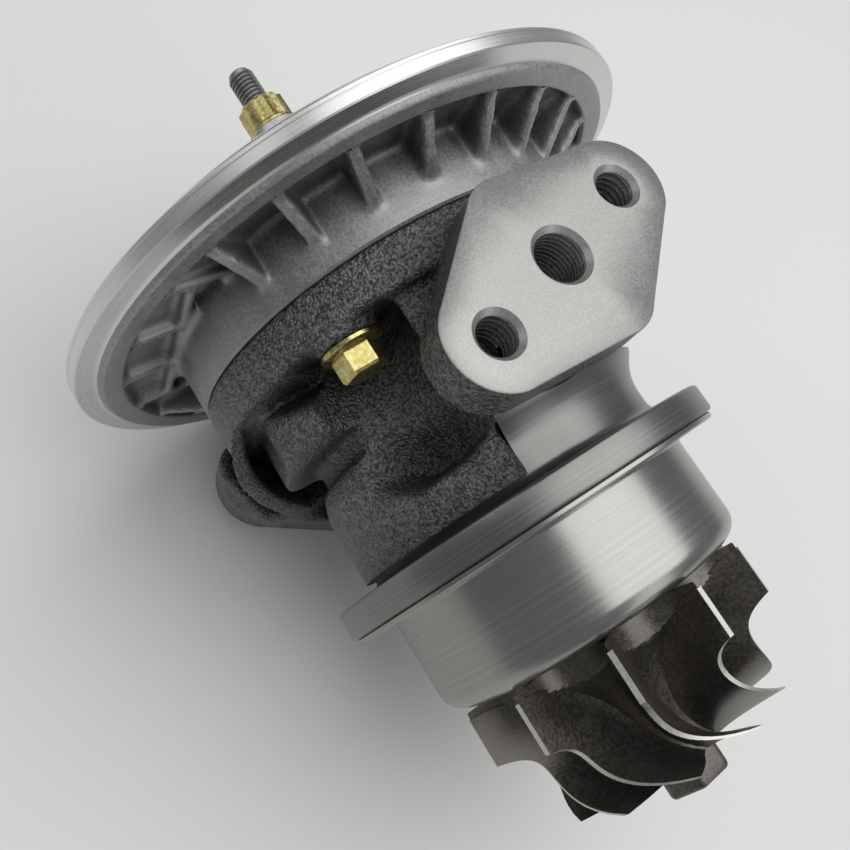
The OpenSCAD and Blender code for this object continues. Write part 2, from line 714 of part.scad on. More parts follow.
module oil_passages() {
    feed_base = [port_x, 0, bush_bore_r + feed_split];
    tapped_hole([port_x, 0, inlet_z], inlet_hole_r, inlet_depth);
    translate(feed_base) cylinder(r = feed_r, h = inlet_z - inlet_depth - feed_base[2] + cut);
    for (x = [bush_a, bush_b]) {
        bush_top = [x + bush_len / 2, 0, bush_bore_r];
        drilling(feed_base, feed_base + past_wall * (bush_top - feed_base), bush_feed_r);
    }
    for (s = [1, -1]) {
        inlet_bolt = [port_x + s * inlet_lobe[0], s * inlet_lobe[1], inlet_z];
        drain_bolt = [port_x - s * drain_lobe[0], s * drain_lobe[1], drain_z];
        tapped_hole(inlet_bolt, pad_hole_r, pad_hole_depth);
        rotate([180, 0, 0]) tapped_hole(drain_bolt, drain_bolt_r, drain_bolt_depth);
    }
    translate([port_x, 0, -drain_z - cut]) cylinder(r = drain_hole_r, h = drain_z + cut - return_z);
}

module bearing_housing() {
    color("#4b4947") difference() {
        union() {
            difference() {
                union() {
                    turned() housing_section();
                    translate([port_x, 0, column_root])
                        cylinder(r = column_r, h = inlet_z - pad_t + cut - column_root);
                    translate([port_x, 0, drain_pad_t - drain_z - cut])
                        cylinder(r = column_r, h = drain_z - drain_pad_t + cut - column_root);
                }
                for (a = scoop_angles)
                    rotate([a, 0, 0]) translate([scoop_x, scoop_at, 0]) {
                        bar(scoop_r, 0, scoop_len);
                        translate([scoop_len, 0, 0]) sphere(r = scoop_r);
                    }
            }
            translate([port_x, 0, inlet_z - pad_t]) linear_extrude(pad_t) inlet_outline();
            translate([port_x, 0, -drain_z]) linear_extrude(drain_pad_t) drain_outline();
            translate([0, 0, drain_pad_t - drain_z - cut]) linear_extrude(skirt_h) skirt_outline();
            around(bolt_count, scoop_angles[0], bolt_at)
                bar(bolt_flange_r + run_gap, scoop_x - cut, bolt_seat_x);
        }
        housing_bores();
        oil_passages();
        around(bolt_count, scoop_angles[0], bolt_at) bar(bolt_r + bolt_gap, joint_x - cut, bolt_seat_x + cut);
        around(screw_count, screw_start, screw_at)
            bar(screw_r + seat_gap, seat_x - cut, seat_x + screw_len + run_gap);
    }
}

// Backplate: die-cast disc with rim, raised ring, ribbed trough and hub
module backplate_section() {
    difference() {
        polygon([[0, face_x], [cover_pilot_r, face_x], [cover_pilot_r, rim_front], [rim_r, rim_front],
            [rim_r, rim_back], [flank_r, rim_back + flank_rise], [ring_outer_r, ring_x],
            [ring_inner_r, ring_x], [ring_inner_r - ring_draft, floor_x], [hub_r, floor_x], [hub_r, joint_x],
            [pilot_r, joint_x], [pilot_r, pilot_end], [0, pilot_end]]);
        span(0, recess_r, face_x - cut, recess_x);
        span(0, cavity_r, cavity_x, pilot_end + cut);
        span(0, front_bore_r, face_x, pilot_end);
        oring_groove(cover_groove_r, face_x + cover_pilot_len / 2);
        oring_groove(pilot_groove_r, joint_x + pilot_len / 2);
    }
}

// Groove for a rubber ring around a register, open outward from its floor radius
module oring_groove(groove_r, middle) {
    half = oring_r + oring_gap;
    span(groove_r, groove_r + 2 * half + cut, middle - half, middle + half);
}

// Rubber ring on the floor of its groove
module oring(groove_r, middle) {
    turned() translate([groove_r + oring_gap + oring_r, middle]) circle(r = oring_r);
}

module backplate_ribs() {
    first = ceil((rib_gap_end - 360 - rib_start) / rib_pitch);
    last = floor((rib_gap_start - rib_start) / rib_pitch);
    for (k = [first : last])
        rotate([rib_start + k * rib_pitch, 0, 0]) translate([0, 0, -rib_t / 2]) linear_extrude(rib_t)
            polygon([[floor_x - cut, hub_r - cut], [ring_x + rib_rise, hub_r - cut],
                [ring_x + rib_rise, hub_r], [ring_x - rib_drop, ring_inner_r],
                [ring_x - rib_drop, ring_inner_r + merge], [floor_x - cut, ring_inner_r + merge]]);
}

// Wall along the hub's side with cross ribs out to the raised ring
module side_boss() {
    bottom = boss_lift - boss_half;
    pitch = (2 * boss_half - boss_t) / (boss_ribs - 1);
    translate([floor_x - cut, -boss_y - boss_t, bottom]) cube([boss_rise + cut, boss_t, 2 * boss_half]);
    for (k = [0 : boss_ribs - 1]) {
        z = bottom + k * pitch;
        reach = sqrt(pow(ring_inner_r, 2) - pow(max(abs(z), abs(z + boss_t)), 2)) + merge;
        translate([floor_x - cut, -reach, z])
            cube([ring_x - floor_x - rib_drop + cut, reach - boss_y, boss_t]);
    }
    for (z = [bottom, bottom + 2 * boss_half - boss_t])
        translate([floor_x - cut, -boss_y, z]) cube([boss_rise + cut, boss_root, boss_t]);
}

module compressor_backplate() {
    color("#a9aaa8") difference() {
        union() {
            turned() backplate_section();
            backplate_ribs();
            side_boss();
        }
        around(bolt_count, scoop_angles[0], bolt_at)
            bar(bolt_r + seat_gap, joint_x - bolt_reach - cut, joint_x + cut);
    }
}

// Backplate bolts: plated hexagon bolts with pressed flanges
module backplate_bolts() {
    color("#c9a86a") around(bolt_count, scoop_angles[0], bolt_at) {
        bar(bolt_r, joint_x - bolt_reach, bolt_seat_x + merge);
        bar(bolt_flange_r, bolt_seat_x, bolt_seat_x + bolt_flange_t);
        translate([bolt_seat_x, 0, 0]) rotate([bolt_turn, 0, 0]) rotate([0, 90, 0])
            cylinder(r = bolt_flats / sqrt(3), h = bolt_flange_t + bolt_head_t, $fn = 6);
    }
}

// Rubber ring between backplate and bearing housing
module backplate_oring() {
    color("#202020") oring(pilot_groove_r, joint_x + pilot_len / 2);
}

// Rubber ring between backplate and compressor cover
module cover_oring() {
    color("#202020") oring(cover_groove_r, face_x + cover_pilot_len / 2);
}

// Heat shield: deep-drawn sheet cup with a clamped lip
module cup_section(r, depth, corner) {
    span(0, r - corner, flange_face, flange_face + depth);
    span(0, r, flange_face, flange_face + depth - corner);
    translate([r - corner, flange_face + depth - corner]) circle(r = corner);
}

module heat_shield() {
    color("#b9b9b6") turned() difference() {
        union() {
            cup_section(shield_r, shield_depth, shield_corner);
            span(0, shield_lip_r, flange_face, flange_face + shield_t);
        }
        cup_section(shield_r - shield_t, shield_depth - shield_t, shield_corner - shield_t);
        span(0, shield_hole_r, flange_face, shield_bottom + cut);
    }
}

// Turbine wheel: cast hub, scalloped back disc and radial blades that turn at the outlet
module turbine_hub_section() {
    polygon(concat(
        [[0, weld_x], [land_r, weld_x], [land_r, shield_bottom - back_slope],
         [land_r + back_slope, turbine_back], [turbine_r - hub_inset, turbine_back]],
        [for (i = [0 : 2 * blade_steps]) turbine_hub(i / (2 * blade_steps)) - [hub_inset, 0]],
        [[0, turbine_hub_end]]));
}

module turbine_wheel() {
    color("#4a4038") union() {
        difference() {
            turned() turbine_hub_section();
            around(turbine_blades, turbine_start + 180 / turbine_blades, scallop_at)
                bar(scallop_r, turbine_back - cut, turbine_back + turbine_len);
        }
        bar(boss_r, turbine_hub_end - cut, turbine_back + turbine_len + boss_len, $fn = 6);
        for (k = [0 : turbine_blades - 1])
            rotate([turbine_start + k * 360 / turbine_blades, 0, 0])
                polyhedron(points = concat(turbine_grid(-1), turbine_grid(1)),
                    faces = grid_faces(blade_steps, blade_rows));
    }
}

// Turbine shaft: ground steel shaft that is friction welded to the turbine wheel
module turbine_shaft() {
    relief_a = snap_b + snap_t;
    relief_b = snap_c;
    ring_x0 = nose_end - rear_seal_from;
    color("#8d8b88") difference() {
        turned() union() {
            span(0, thread_r, shaft_tip, compressor_tip + cut);
            span(0, stub_r, compressor_tip + merge, shoulder_x + merge);
            span(0, journal_r, shoulder_x, relief_a);
            span(0, relief_r, relief_a - merge, relief_b + merge);
            span(0, journal_r, relief_b, chamber_x + cut);
            polygon([[0, chamber_x], [journal_r, chamber_x], [land_r, chamber_end - cut],
                [land_r, weld_x], [0, weld_x]]);
        }
        turned() ring_groove(land_r, ring_x0);
    }
}

// Compressor wheel: light alloy wheel with full blades and splitters
module compressor_hub_section() {
    difference() {
        polygon(concat(
            [[0, wheel_back], [compressor_r - hub_inset, wheel_back]],
            [for (i = [2 * blade_steps : -1 : 0]) compressor_hub(i / (2 * blade_steps)) - [hub_inset, 0]],
            [[compressor_nose_r, compressor_front - nose_slope], [compressor_nose_r, compressor_tip],
             [0, compressor_tip]]));
        span(0, stub_r + seat_gap, compressor_tip - cut, wheel_back + cut);
    }
}

module compressor_blade(start) {
    polyhedron(points = concat(compressor_grid(-1, start), compressor_grid(1, start)),
        faces = grid_faces(blade_steps, blade_rows));
}

module compressor_wheel() {
    color("#b5b7b8") union() {
        turned() compressor_hub_section();
        for (k = [0 : compressor_blades - 1], f = [0, 1])
            rotate([(k + f / 2) * 360 / compressor_blades, 0, 0])
                compressor_blade(f * splitter_start);
    }
}

// Shaft nut: plated nut with twelve points and a flange
module shaft_nut() {
    color("#c9a86a") difference() {
        union() {
            for (a = [nut_turn, nut_turn + hexagon_turn])
                rotate([a, 0, 0]) translate([nut_tip, 0, 0]) rotate([0, 90, 0])
                    cylinder(r = nut_points / 2, h = nut_h, $fn = 6);
            bar(nut_flange_r, compressor_tip - nut_flange_t, compressor_tip);
        }
        bar(thread_r + seat_gap, nut_tip - cut, compressor_tip + cut);
    }
}

// Thrust collar: hardened ring that turns against the thrust bearing's turbine side
module thrust_collar() {
    color("#77787a") turned() difference() {
        union() {
            span(0, collar_hub_r, flinger_end, shoulder_x);
            span(0, thrust_face_r, collar_x, shoulder_x);
        }
        span(0, stub_r + seat_gap, flinger_end - cut, shoulder_x + cut);
    }
}

// Thrust bearing: bronze disc screwed to the housing
module thrust_bearing() {
    color("#b08a4c") difference() {
        turned() span(collar_hub_r + run_gap, thrust_r, thrust_x, seat_x);
        around(screw_count, screw_start, screw_at) bar(screw_r + seat_gap, thrust_x - cut, seat_x + cut);
    }
}

// Thrust bearing screws: round-headed screws
module thrust_screws() {
    color("#6f6f70") around(screw_count, screw_start, screw_at) {
        bar(screw_r, thrust_x - merge, seat_x + screw_len);
        bar(screw_head_r, thrust_x - screw_head_t, thrust_x);
    }
}

// Oil flinger: sleeve between wheel and collar, with its thrust face and piston ring groove
module oil_flinger() {
    ring_x0 = wheel_back + front_seal_from;
    color("#77787a") turned() difference() {
        union() {
            span(0, flinger_r, wheel_back, flinger_end);
            span(0, thrust_face_r, flinger_end - flinger_t, flinger_end);
        }
        span(0, stub_r + seat_gap, wheel_back - cut, flinger_end + cut);
        ring_groove(flinger_r, ring_x0);
    }
}

// Oil baffle: pressed sheet disc that keeps oil away from the compressor seal
module oil_baffle() {
    color("#8a8d90") turned() span(front_bore_r, cavity_r, cavity_x, cavity_x + baffle_t);
}

// Piston rings that stand still in their bores
module compressor_seal_ring() {
    color("#5c5d5f") piston_ring(front_bore_r, wheel_back + front_seal_from);
}

module turbine_seal_ring() {
    color("#5c5d5f") piston_ring(rear_bore_r, nose_end - rear_seal_from);
}

// Floating bushes: bronze sleeves free to turn on the shaft and in the housing
module compressor_bush() {
    color("#b08a4c") bush(bush_a);
}

module turbine_bush() {
    color("#b08a4c") bush(bush_b);
}

// Snap rings that keep the bushes in place
module compressor_bush_rings() {
    color("#4f5052") for (x = [snap_a, snap_b])
        snap_ring(x);
}

module turbine_bush_rings() {
    color("#4f5052") for (x = [snap_c, snap_d])
        snap_ring(x);
}

bearing_housing();
compressor_backplate();
backplate_bolts();
backplate_oring();
cover_oring();
heat_shield();
turbine_wheel();
turbine_shaft();
compressor_wheel();
shaft_nut();
thrust_collar();
thrust_bearing();
thrust_screws();
oil_flinger();
oil_baffle();
compressor_seal_ring();
turbine_seal_ring();
compressor_bush();
turbine_bush();
compressor_bush_rings();
turbine_bush_rings();
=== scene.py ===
import math
import bmesh
import bpy
import numpy as np
from mathutils import Matrix, Vector


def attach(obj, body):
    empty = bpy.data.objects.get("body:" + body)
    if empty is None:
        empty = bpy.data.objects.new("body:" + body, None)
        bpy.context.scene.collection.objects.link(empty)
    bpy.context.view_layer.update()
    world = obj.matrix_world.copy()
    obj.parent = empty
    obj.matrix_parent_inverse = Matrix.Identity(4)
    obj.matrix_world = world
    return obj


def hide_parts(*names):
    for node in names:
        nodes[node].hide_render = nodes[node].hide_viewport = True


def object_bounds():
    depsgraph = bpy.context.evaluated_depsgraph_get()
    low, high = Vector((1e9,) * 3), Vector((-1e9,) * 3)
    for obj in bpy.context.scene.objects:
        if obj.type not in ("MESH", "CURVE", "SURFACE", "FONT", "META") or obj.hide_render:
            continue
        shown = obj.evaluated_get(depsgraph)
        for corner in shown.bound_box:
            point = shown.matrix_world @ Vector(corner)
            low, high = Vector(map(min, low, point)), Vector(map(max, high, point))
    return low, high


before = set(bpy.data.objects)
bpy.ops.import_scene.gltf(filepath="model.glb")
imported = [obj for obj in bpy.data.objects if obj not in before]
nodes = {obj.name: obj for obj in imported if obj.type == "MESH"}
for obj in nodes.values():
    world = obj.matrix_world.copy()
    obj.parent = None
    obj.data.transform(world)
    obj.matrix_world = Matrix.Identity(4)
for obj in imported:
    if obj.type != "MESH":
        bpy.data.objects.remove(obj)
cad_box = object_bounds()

# Bearing housing
# The centre casting of the cartridge, in grey iron from a sand mould, so its skin is dark and grainy.
# The oil pads, the neck and the turbine flange are machined bright, and the pad holes are tapped.
# Sizes are in mm and angles in degrees, unless a line says otherwise.
MM = 0.001


def add(tree, kind, links=(), **settings):
    """A shader node with its settings, and its inputs linked or set by name or number."""
    node = tree.nodes.new(kind)
    for key, value in settings.items():
        setattr(node, key, value)
    for key, value in links:
        if isinstance(value, bpy.types.NodeSocket):
            tree.links.new(value, node.inputs[key])
        else:
            node.inputs[key].default_value = value
    return node


def effect_group(name, inputs, outputs=("Height", "Tone")):
    """An empty node group with number inputs and outputs, most often a height and a tone."""
    tree = bpy.data.node_groups.new(name, "ShaderNodeTree")
    for label in inputs:
        tree.interface.new_socket(label, in_out="INPUT", socket_type="NodeSocketFloat")
    for label in outputs:
        tree.interface.new_socket(label, in_out="OUTPUT", socket_type="NodeSocketFloat")
    return tree, tree.nodes.new("NodeGroupInput").outputs, tree.nodes.new("NodeGroupOutput").inputs


def sand_grain():
    """Pebbly skin of a casting: grains the size of the sand, and a slow cloud of lighter patches. Its tone is
    also lighter on the grains' tops and darker between them, as painted highlight and shade.
    """
    tree, given, result = effect_group("sand_grain", ["Grain", "Cloud"])
    place = add(tree, "ShaderNodeTexCoord").outputs["Object"]
    pebble = add(tree, "ShaderNodeTexVoronoi", [("Vector", place), ("Scale", given["Grain"])],
                 feature="SMOOTH_F1")
    fine = add(tree, "ShaderNodeTexNoise", [("Vector", place), ("Scale", given["Grain"]),
                                            ("Detail", 4.0), ("Roughness", 0.6)])
    cloud = add(tree, "ShaderNodeTexNoise", [("Vector", place), ("Scale", given["Cloud"]), ("Detail", 3.0)])
    dome = add(tree, "ShaderNodeMath", [(0, fine.outputs["Fac"]), (1, pebble.outputs["Distance"])],
               operation="SUBTRACT")
    height = add(tree, "ShaderNodeMath", [(0, cloud.outputs["Fac"]), (1, 0.5), (2, dome.outputs[0])],
                 operation="MULTIPLY_ADD")
    # The tone adds the grains' domes, as painted highlight on their tops and painted shade between them, to
    # the cloud's real patches.
    both = add(tree, "ShaderNodeMath", [(0, dome.outputs[0]), (1, cloud.outputs["Fac"])], operation="ADD")
    tone = add(tree, "ShaderNodeMath", [(0, both.outputs[0]), (1, 0.5), (2, 0.18)], operation="MULTIPLY_ADD")
    tree.links.new(height.outputs[0], result["Height"])
    tree.links.new(tone.outputs[0], result["Tone"])
    return tree


def lathe_lines():
    """Fine tool lines around the shaft, on cylinders and on end faces alike, under a slow cloud."""
    tree, given, result = effect_group("lathe_lines", ["Lines", "Cloud"])
    place = add(tree, "ShaderNodeTexCoord").outputs["Object"]
    parts = add(tree, "ShaderNodeSeparateXYZ", [("Vector", place)])
    across = add(tree, "ShaderNodeCombineXYZ", [("Y", parts.outputs["Y"]), ("Z", parts.outputs["Z"])])
    radius = add(tree, "ShaderNodeVectorMath", [(0, across.outputs[0])], operation="LENGTH")
    track = add(tree, "ShaderNodeMath", [(0, parts.outputs["X"]), (1, radius.outputs["Value"])],
                operation="ADD")
    lines = add(tree, "ShaderNodeTexNoise", [("W", track.outputs[0]), ("Scale", given["Lines"]),
                                             ("Detail", 3.0)], noise_dimensions="1D")
    cloud = add(tree, "ShaderNodeTexNoise", [("Vector", place), ("Scale", given["Cloud"]), ("Detail", 4.0)])
    both = add(tree, "ShaderNodeMath", [(0, lines.outputs["Fac"]), (1, cloud.outputs["Fac"])],
               operation="ADD")
    tone = add(tree, "ShaderNodeMath", [(0, both.outputs[0]), (1, 0.5)], operation="MULTIPLY")
    tree.links.new(lines.outputs["Fac"], result["Height"])
    tree.links.new(tone.outputs[0], result["Tone"])
    return tree


def shade_in_hollows():
    """Painted shade in hollows: 1 in the open, less where walls stand within reach, to darken the colour
    there.
    """
    tree, given, result = effect_group("hollow_shade", ["Reach"], ["Clean"])
    # Ambient occlusion of the piece's own walls gives the painted shade.
    open_sky = add(tree, "ShaderNodeAmbientOcclusion", [("Distance", given["Reach"])],
                   samples=8, only_local=True)
    unshaded_share = add(tree, "ShaderNodeMapRange", [("Value", open_sky.outputs["AO"]), ("From Min", 0.25),
                                             ("From Max", 0.9), ("To Min", 0.22), ("To Max", 1.0)])
    tree.links.new(unshaded_share.outputs[0], result["Clean"])
    return tree


def finish(name, group, settings, dark, light, rough, relief, metal, shade_reach=0):
    """Material whose colour and roughness follow a group's tone, with the group's height as fine relief.

    Relief is its strength and its height in mm. The last argument is how near in mm the walls of a hollow
    have to be for painted shade to darken the colour there, or 0 for no painted shade.
    """
    material = bpy.data.materials.new(name)
    material.use_nodes = True
    tree = material.node_tree
    skin = tree.nodes["Principled BSDF"]
    effect = add(tree, "ShaderNodeGroup", node_tree=group)
    for label, value in settings.items():
        effect.inputs[label].default_value = value
    share = add(tree, "ShaderNodeMapRange", [("Value", effect.outputs["Tone"]), ("From Min", 0.35),
                                             ("From Max", 0.65)]).outputs[0]
    colour = add(tree, "ShaderNodeMix", [("Factor", share)], data_type="RGBA")
    colour.inputs["A"].default_value = (*dark, 1.0)
    colour.inputs["B"].default_value = (*light, 1.0)
    gloss = add(tree, "ShaderNodeMapRange", [("Value", share), ("To Min", rough[0]), ("To Max", rough[1])])
    bump = add(tree, "ShaderNodeBump", [("Height", effect.outputs["Height"]), ("Strength", relief[0]),
                                        ("Distance", relief[1] * MM)])
    shown = colour.outputs["Result"]
    # Painted shade: the colour is darkened in the piece's own hollows.
    if shade_reach:
        shade_node = add(tree, "ShaderNodeGroup", node_tree=hollow_shade)
        shade_node.inputs["Reach"].default_value = shade_reach * MM
        shaded = add(tree, "ShaderNodeVectorMath", [(0, shown), (1, shade_node.outputs["Clean"])],
                     operation="MULTIPLY")
        shown = shaded.outputs[0]
    tree.links.new(shown, skin.inputs["Base Color"])
    tree.links.new(gloss.outputs[0], skin.inputs["Roughness"])
    tree.links.new(bump.outputs[0], skin.inputs["Normal"])
    skin.inputs["Metallic"].default_value = metal
    return material


sand_skin = sand_grain()
tool_marks = lathe_lines()
hollow_shade = shade_in_hollows()
# The cast iron's colour gets painted shade in its hollows, such as the pocket below the inlet pad.
cast_iron = finish("cast_iron", sand_skin, {"Grain": 2200.0, "Cloud": 1000.0},
                   dark=(0.06, 0.06, 0.059), light=(0.25, 0.249, 0.243),
                   rough=(0.28, 0.46), relief=(0.9, 0.35), metal=0.7, shade_reach=14)
milled_iron = finish("milled_iron", sand_skin, {"Grain": 4200.0, "Cloud": 2400.0},
                     dark=(0.31, 0.305, 0.295), light=(0.43, 0.422, 0.41),
                     rough=(0.38, 0.5), relief=(0.15, 0.03), metal=0.75)
turned_iron = finish("turned_iron", tool_marks, {"Lines": 2500.0, "Cloud": 90.0},
                     dark=(0.17, 0.166, 0.16), light=(0.23, 0.225, 0.217),
                     rough=(0.28, 0.38), relief=(0.06, 0.02), metal=0.85)
tapped_iron = finish("tapped_iron", sand_skin, {"Grain": 2600.0, "Cloud": 500.0},
                     dark=(0.13, 0.129, 0.127), light=(0.22, 0.218, 0.214),
                     rough=(0.26, 0.36), relief=(0.1, 0.03), metal=0.85)
# A pale copy of the tapped iron for the thread crests: painted highlight where little lamp light reaches into
# the holes.
crest_highlight = finish("crest_highlight", sand_skin, {"Grain": 2600.0, "Cloud": 500.0},
                      dark=(0.62, 0.612, 0.60), light=(0.74, 0.73, 0.715),
                      rough=(0.26, 0.36), relief=(0.05, 0.02), metal=0.7)


SHARP_ANGLE = 32


def piece(bm, name, materials, body, slot, *replaced):
    """A finished piece at the origin, shaded smooth with its corners sharp, that rides on a body."""
    data = bpy.data.meshes.new(name)
    bm.to_mesh(data)
    bm.free()
    data.shade_smooth()
    data.set_sharp_from_angle(angle=math.radians(SHARP_ANGLE))
    for material in materials:
        data.materials.append(material)
    made = bpy.data.objects.new(name, data)
    bpy.context.scene.collection.objects.link(made)
    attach(made, body)
    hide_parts(*replaced)


def joined(bm, part, material=None):
    """Adds another bmesh to this one, all of it in one of the piece's materials if one is given."""
    if material is not None:
        for f in part.faces:
            f.material_index = material
    data = bpy.data.meshes.new("joined")
    part.to_mesh(data)
    part.free()
    bm.from_mesh(data)
    bpy.data.meshes.remove(data)


def solid_copy(node):
    """A merged copy of a node's mesh."""
    bm = bmesh.new()
    bm.from_mesh(nodes[node].data)
    bmesh.ops.remove_doubles(bm, verts=bm.verts, dist=1e-6)
    return bm


def trimmed(bm, point, normal):
    """Cuts away what lies on the side of a plane that its normal points to."""
    geometry = bm.verts[:] + bm.edges[:] + bm.faces[:]
    bmesh.ops.bisect_plane(bm, geom=geometry, plane_co=point, plane_no=normal, dist=1e-7, clear_outer=True)


def cast_skin(bm, step, turns, held=None, pressed=None):
    """Closed solids remade as one skin of small even faces, with cast fillets except where held is 1.

    Step is the size of the faces in mm, and more turns give wider fillets. Pressed moves the skin first.
    """
    data = bpy.data.meshes.new("cast_skin")
    bm.to_mesh(data)
    bm.free()
    form = bpy.data.objects.new("cast_skin", data)
    bpy.context.scene.collection.objects.link(form)
    remesh = form.modifiers.new("even_faces", "REMESH")
    remesh.mode = "VOXEL"
    remesh.voxel_size = step * MM
    even = form.evaluated_get(bpy.context.evaluated_depsgraph_get()).to_mesh().copy()
    form.modifiers.clear()
    form.data = even
    places = np.empty(len(even.vertices) * 3)
    even.vertices.foreach_get("co", places)
    places = places.reshape(-1, 3)
    if pressed:
        pressed(places)
        even.vertices.foreach_set("co", places.ravel())
    freedom = 1.0 - held(places) if held else np.ones(len(places))
    cast = form.vertex_groups.new(name="cast")
    levels = 4
    for k in range(1, levels + 1):
        near = np.abs(freedom - k / levels) < 0.5 / levels
        cast.add(np.nonzero(near)[0].tolist(), k / levels, "REPLACE")
    fillets = form.modifiers.new("fillets", "SMOOTH")
    fillets.factor = 0.5
    fillets.iterations = turns
    fillets.vertex_group = "cast"
    skin = bmesh.new()
    skin.from_mesh(form.evaluated_get(bpy.context.evaluated_depsgraph_get()).to_mesh())
    bpy.data.objects.remove(form)
    return skin


def spun(profile, steps=180, sweep=360):
    """The surface that a profile of positions and radii in mm sweeps around the shaft's line."""
    bm = bmesh.new()
    points = [bm.verts.new((x * MM, r * MM, 0)) for x, r in profile]
    edges = [bm.edges.new(pair) for pair in zip(points, points[1:])]
    bmesh.ops.spin(bm, geom=points + edges, cent=(0, 0, 0), axis=(1, 0, 0), dvec=(0, 0, 0),
                   angle=math.radians(sweep), steps=steps, use_merge=sweep == 360)
    bmesh.ops.remove_doubles(bm, verts=bm.verts, dist=1e-7)
    bmesh.ops.recalc_face_normals(bm, faces=bm.faces)
    return bm


def turned_by(bm, degrees):
    """The same mesh turned around the shaft."""
    turn = Matrix.Rotation(math.radians(degrees), 3, "X")
    bmesh.ops.rotate(bm, verts=bm.verts, cent=(0, 0, 0), matrix=turn)
    return bm


def arc(centre, radius, start, end, count):
    """Points of a profile along an arc, by its angle from the shaft's direction."""
    for k in range(count + 1):
        a = math.radians(start + (end - start) * k / count)
        yield centre[0] + radius * math.cos(a), centre[1] + radius * math.sin(a)


def thread(root, crest, pitch, start, turns, steps=40):
    """A thread: one V, with its places as shares of the pitch, turned and moved along the shaft's line."""
    bm = bmesh.new()
    section = [(0, root), (0.06, root), (0.36, crest), (0.64, crest), (0.94, root), (1, root)]
    points = [bm.verts.new(((start + pitch * along) * MM, r * MM, 0)) for along, r in section]
    edges = [bm.edges.new(pair) for pair in zip(points, points[1:])]
    bmesh.ops.spin(bm, geom=points + edges, cent=(0, 0, 0), axis=(1, 0, 0), dvec=(pitch * MM / steps, 0, 0),
                   angle=math.tau * turns, steps=steps * turns)
    bmesh.ops.remove_doubles(bm, verts=bm.verts, dist=1e-6)
    bmesh.ops.recalc_face_normals(bm, faces=bm.faces)
    return bm


AS_CAST, MILLED, TURNED, TAPPED, CREST_HIGHLIGHT = range(5)
PORT_X, INLET_Z, DRAIN_Z = 33.33, 52.2, -46.0
LEAD, PAST_LEAD, LIP, SKIRT, SPARE = 0.9, 1.1, 0.2, 1.2, 1.7
# A hole is its place along and across the shaft, and its radius.
INLET_HOLES = [(PORT_X, 0, 4.45), (39.97, -17.86, 3.4), (26.69, 17.86, 3.4)]
DRAIN_HOLES = [(PORT_X, 0, 9.5), (43.26, 26.71, 2.5), (23.40, -26.71, 2.5)]


def in_hole(co, hole):
    """True for a point in a pad's hole or on its lead chamfer, as seen along the hole."""
    off_axis = math.hypot(co.x / MM - hole[0], co.y / MM - hole[1])
    return off_axis < hole[2] + PAST_LEAD * LEAD


LAND_R, LAND_END, LAND_FROM, NECK_R, SUNK_R = 32.9, 57.3, 112, 31.0, 30.2
INLET_KEPT, DRAIN_KEPT, PAD_EASE, END_KEPT, END_EASE, INSIDE_R = 2.4, 2.0, 1.2, 1.0, 0.6, 22


def housing_held(p):
    """1 on machined faces and in bores, 0 on the cast skin."""
    x, y, z = (p / MM).T
    at_inlet = np.clip((z - INLET_Z + INLET_KEPT) / PAD_EASE, 0, 1)
    at_drain = np.clip((DRAIN_Z + DRAIN_KEPT - z) / PAD_EASE, 0, 1)
    at_end = np.clip((x - LAND_END + END_KEPT) / END_EASE, 0, 1)
    inside = np.hypot(y, z) < INSIDE_R
    return np.maximum.reduce([at_inlet, at_drain, at_end, inside])


def eased(share):
    """A share from 0 to 1 with a soft start and end."""
    share = np.clip(share, 0, 1)
    return share * share * (3 - 2 * share)


def around(p):
    """Places along the shaft, radii and angles of points. An angle of 90 is up and 180 to either side."""
    x, y, z = (p / MM).T
    return x, np.hypot(y, z), np.degrees(np.arctan2(z, -np.abs(y))) % 360


def drawn(p, where, radius, new_radius):
    """Moves some of the points straight towards the shaft or away from it."""
    p[where, 1:] *= (new_radius / radius)[where, None]


BAND_END, BAND_SKIN, BAND_EASE, SHOULDER_R, SHOULDER_END = 22.8, 0.1, 0.9, 39.7, 35.1
WEB_IN, WEB_OUT, WEB_SKIN, WEB_ROOM, WEB_EASE = 41.6, 45.8, 0.8, 1.7, 1.5
HOLLOW_FROM, VALLEY_TO, HOLLOW_TO, HOLLOW_IN, HOLLOW_LOW = 143, 172, 238, 27, -33
# A table is a row of angles, and a row of the places or radii there.
VALLEY_CREST = [143, 156, 172], [33, 30, 24.5]
VALLEY_FLOOR = [143, 160, 172], [28, 32, 37]
SHOULDER_TOP = [143, 150, 172, 181, 225, 238], [40, 38.5, 38.5, 36.4, 36.4, 40]


def end_hollows(p):
    """Presses the valley along the end flange and the lower shoulder below it, and thins the web."""
    x, radius, angle = around(p)
    floor = np.interp(angle, *VALLEY_FLOOR)
    slope = eased((x - BAND_END) / (np.interp(angle, *VALLEY_CREST) - BAND_END))
    valley = floor + (SHOULDER_R - floor) * slope
    top = np.interp(angle, *SHOULDER_TOP)
    limit = np.where(angle < VALLEY_TO, np.minimum(valley, top), top)
    sunk = np.maximum(radius - limit, 0) * np.clip((x - BAND_END) / BAND_EASE, 0, 1)
    thinned = WEB_ROOM * np.clip((x - BAND_END) / WEB_EASE, 0, 1)
    behind = (angle > HOLLOW_FROM) & (angle < HOLLOW_TO) & (x > BAND_END + BAND_SKIN)
    behind &= p[:, 2] > HOLLOW_LOW * MM
    in_web = radius > WEB_IN - WEB_SKIN
    shell = behind & ~in_web & (radius > HOLLOW_IN) & (x < SHOULDER_END)
    drawn(p, shell, radius, radius - sunk)
    drawn(p, behind & in_web, radius, radius - thinned)


DRUM_FROM, DRUM_TO, DRUM_IN, DRUM_OUT = 148, 232, 29, 37
DRUM_START, DRUM_SLOPE, DRUM_STEP = 36, 3, 7


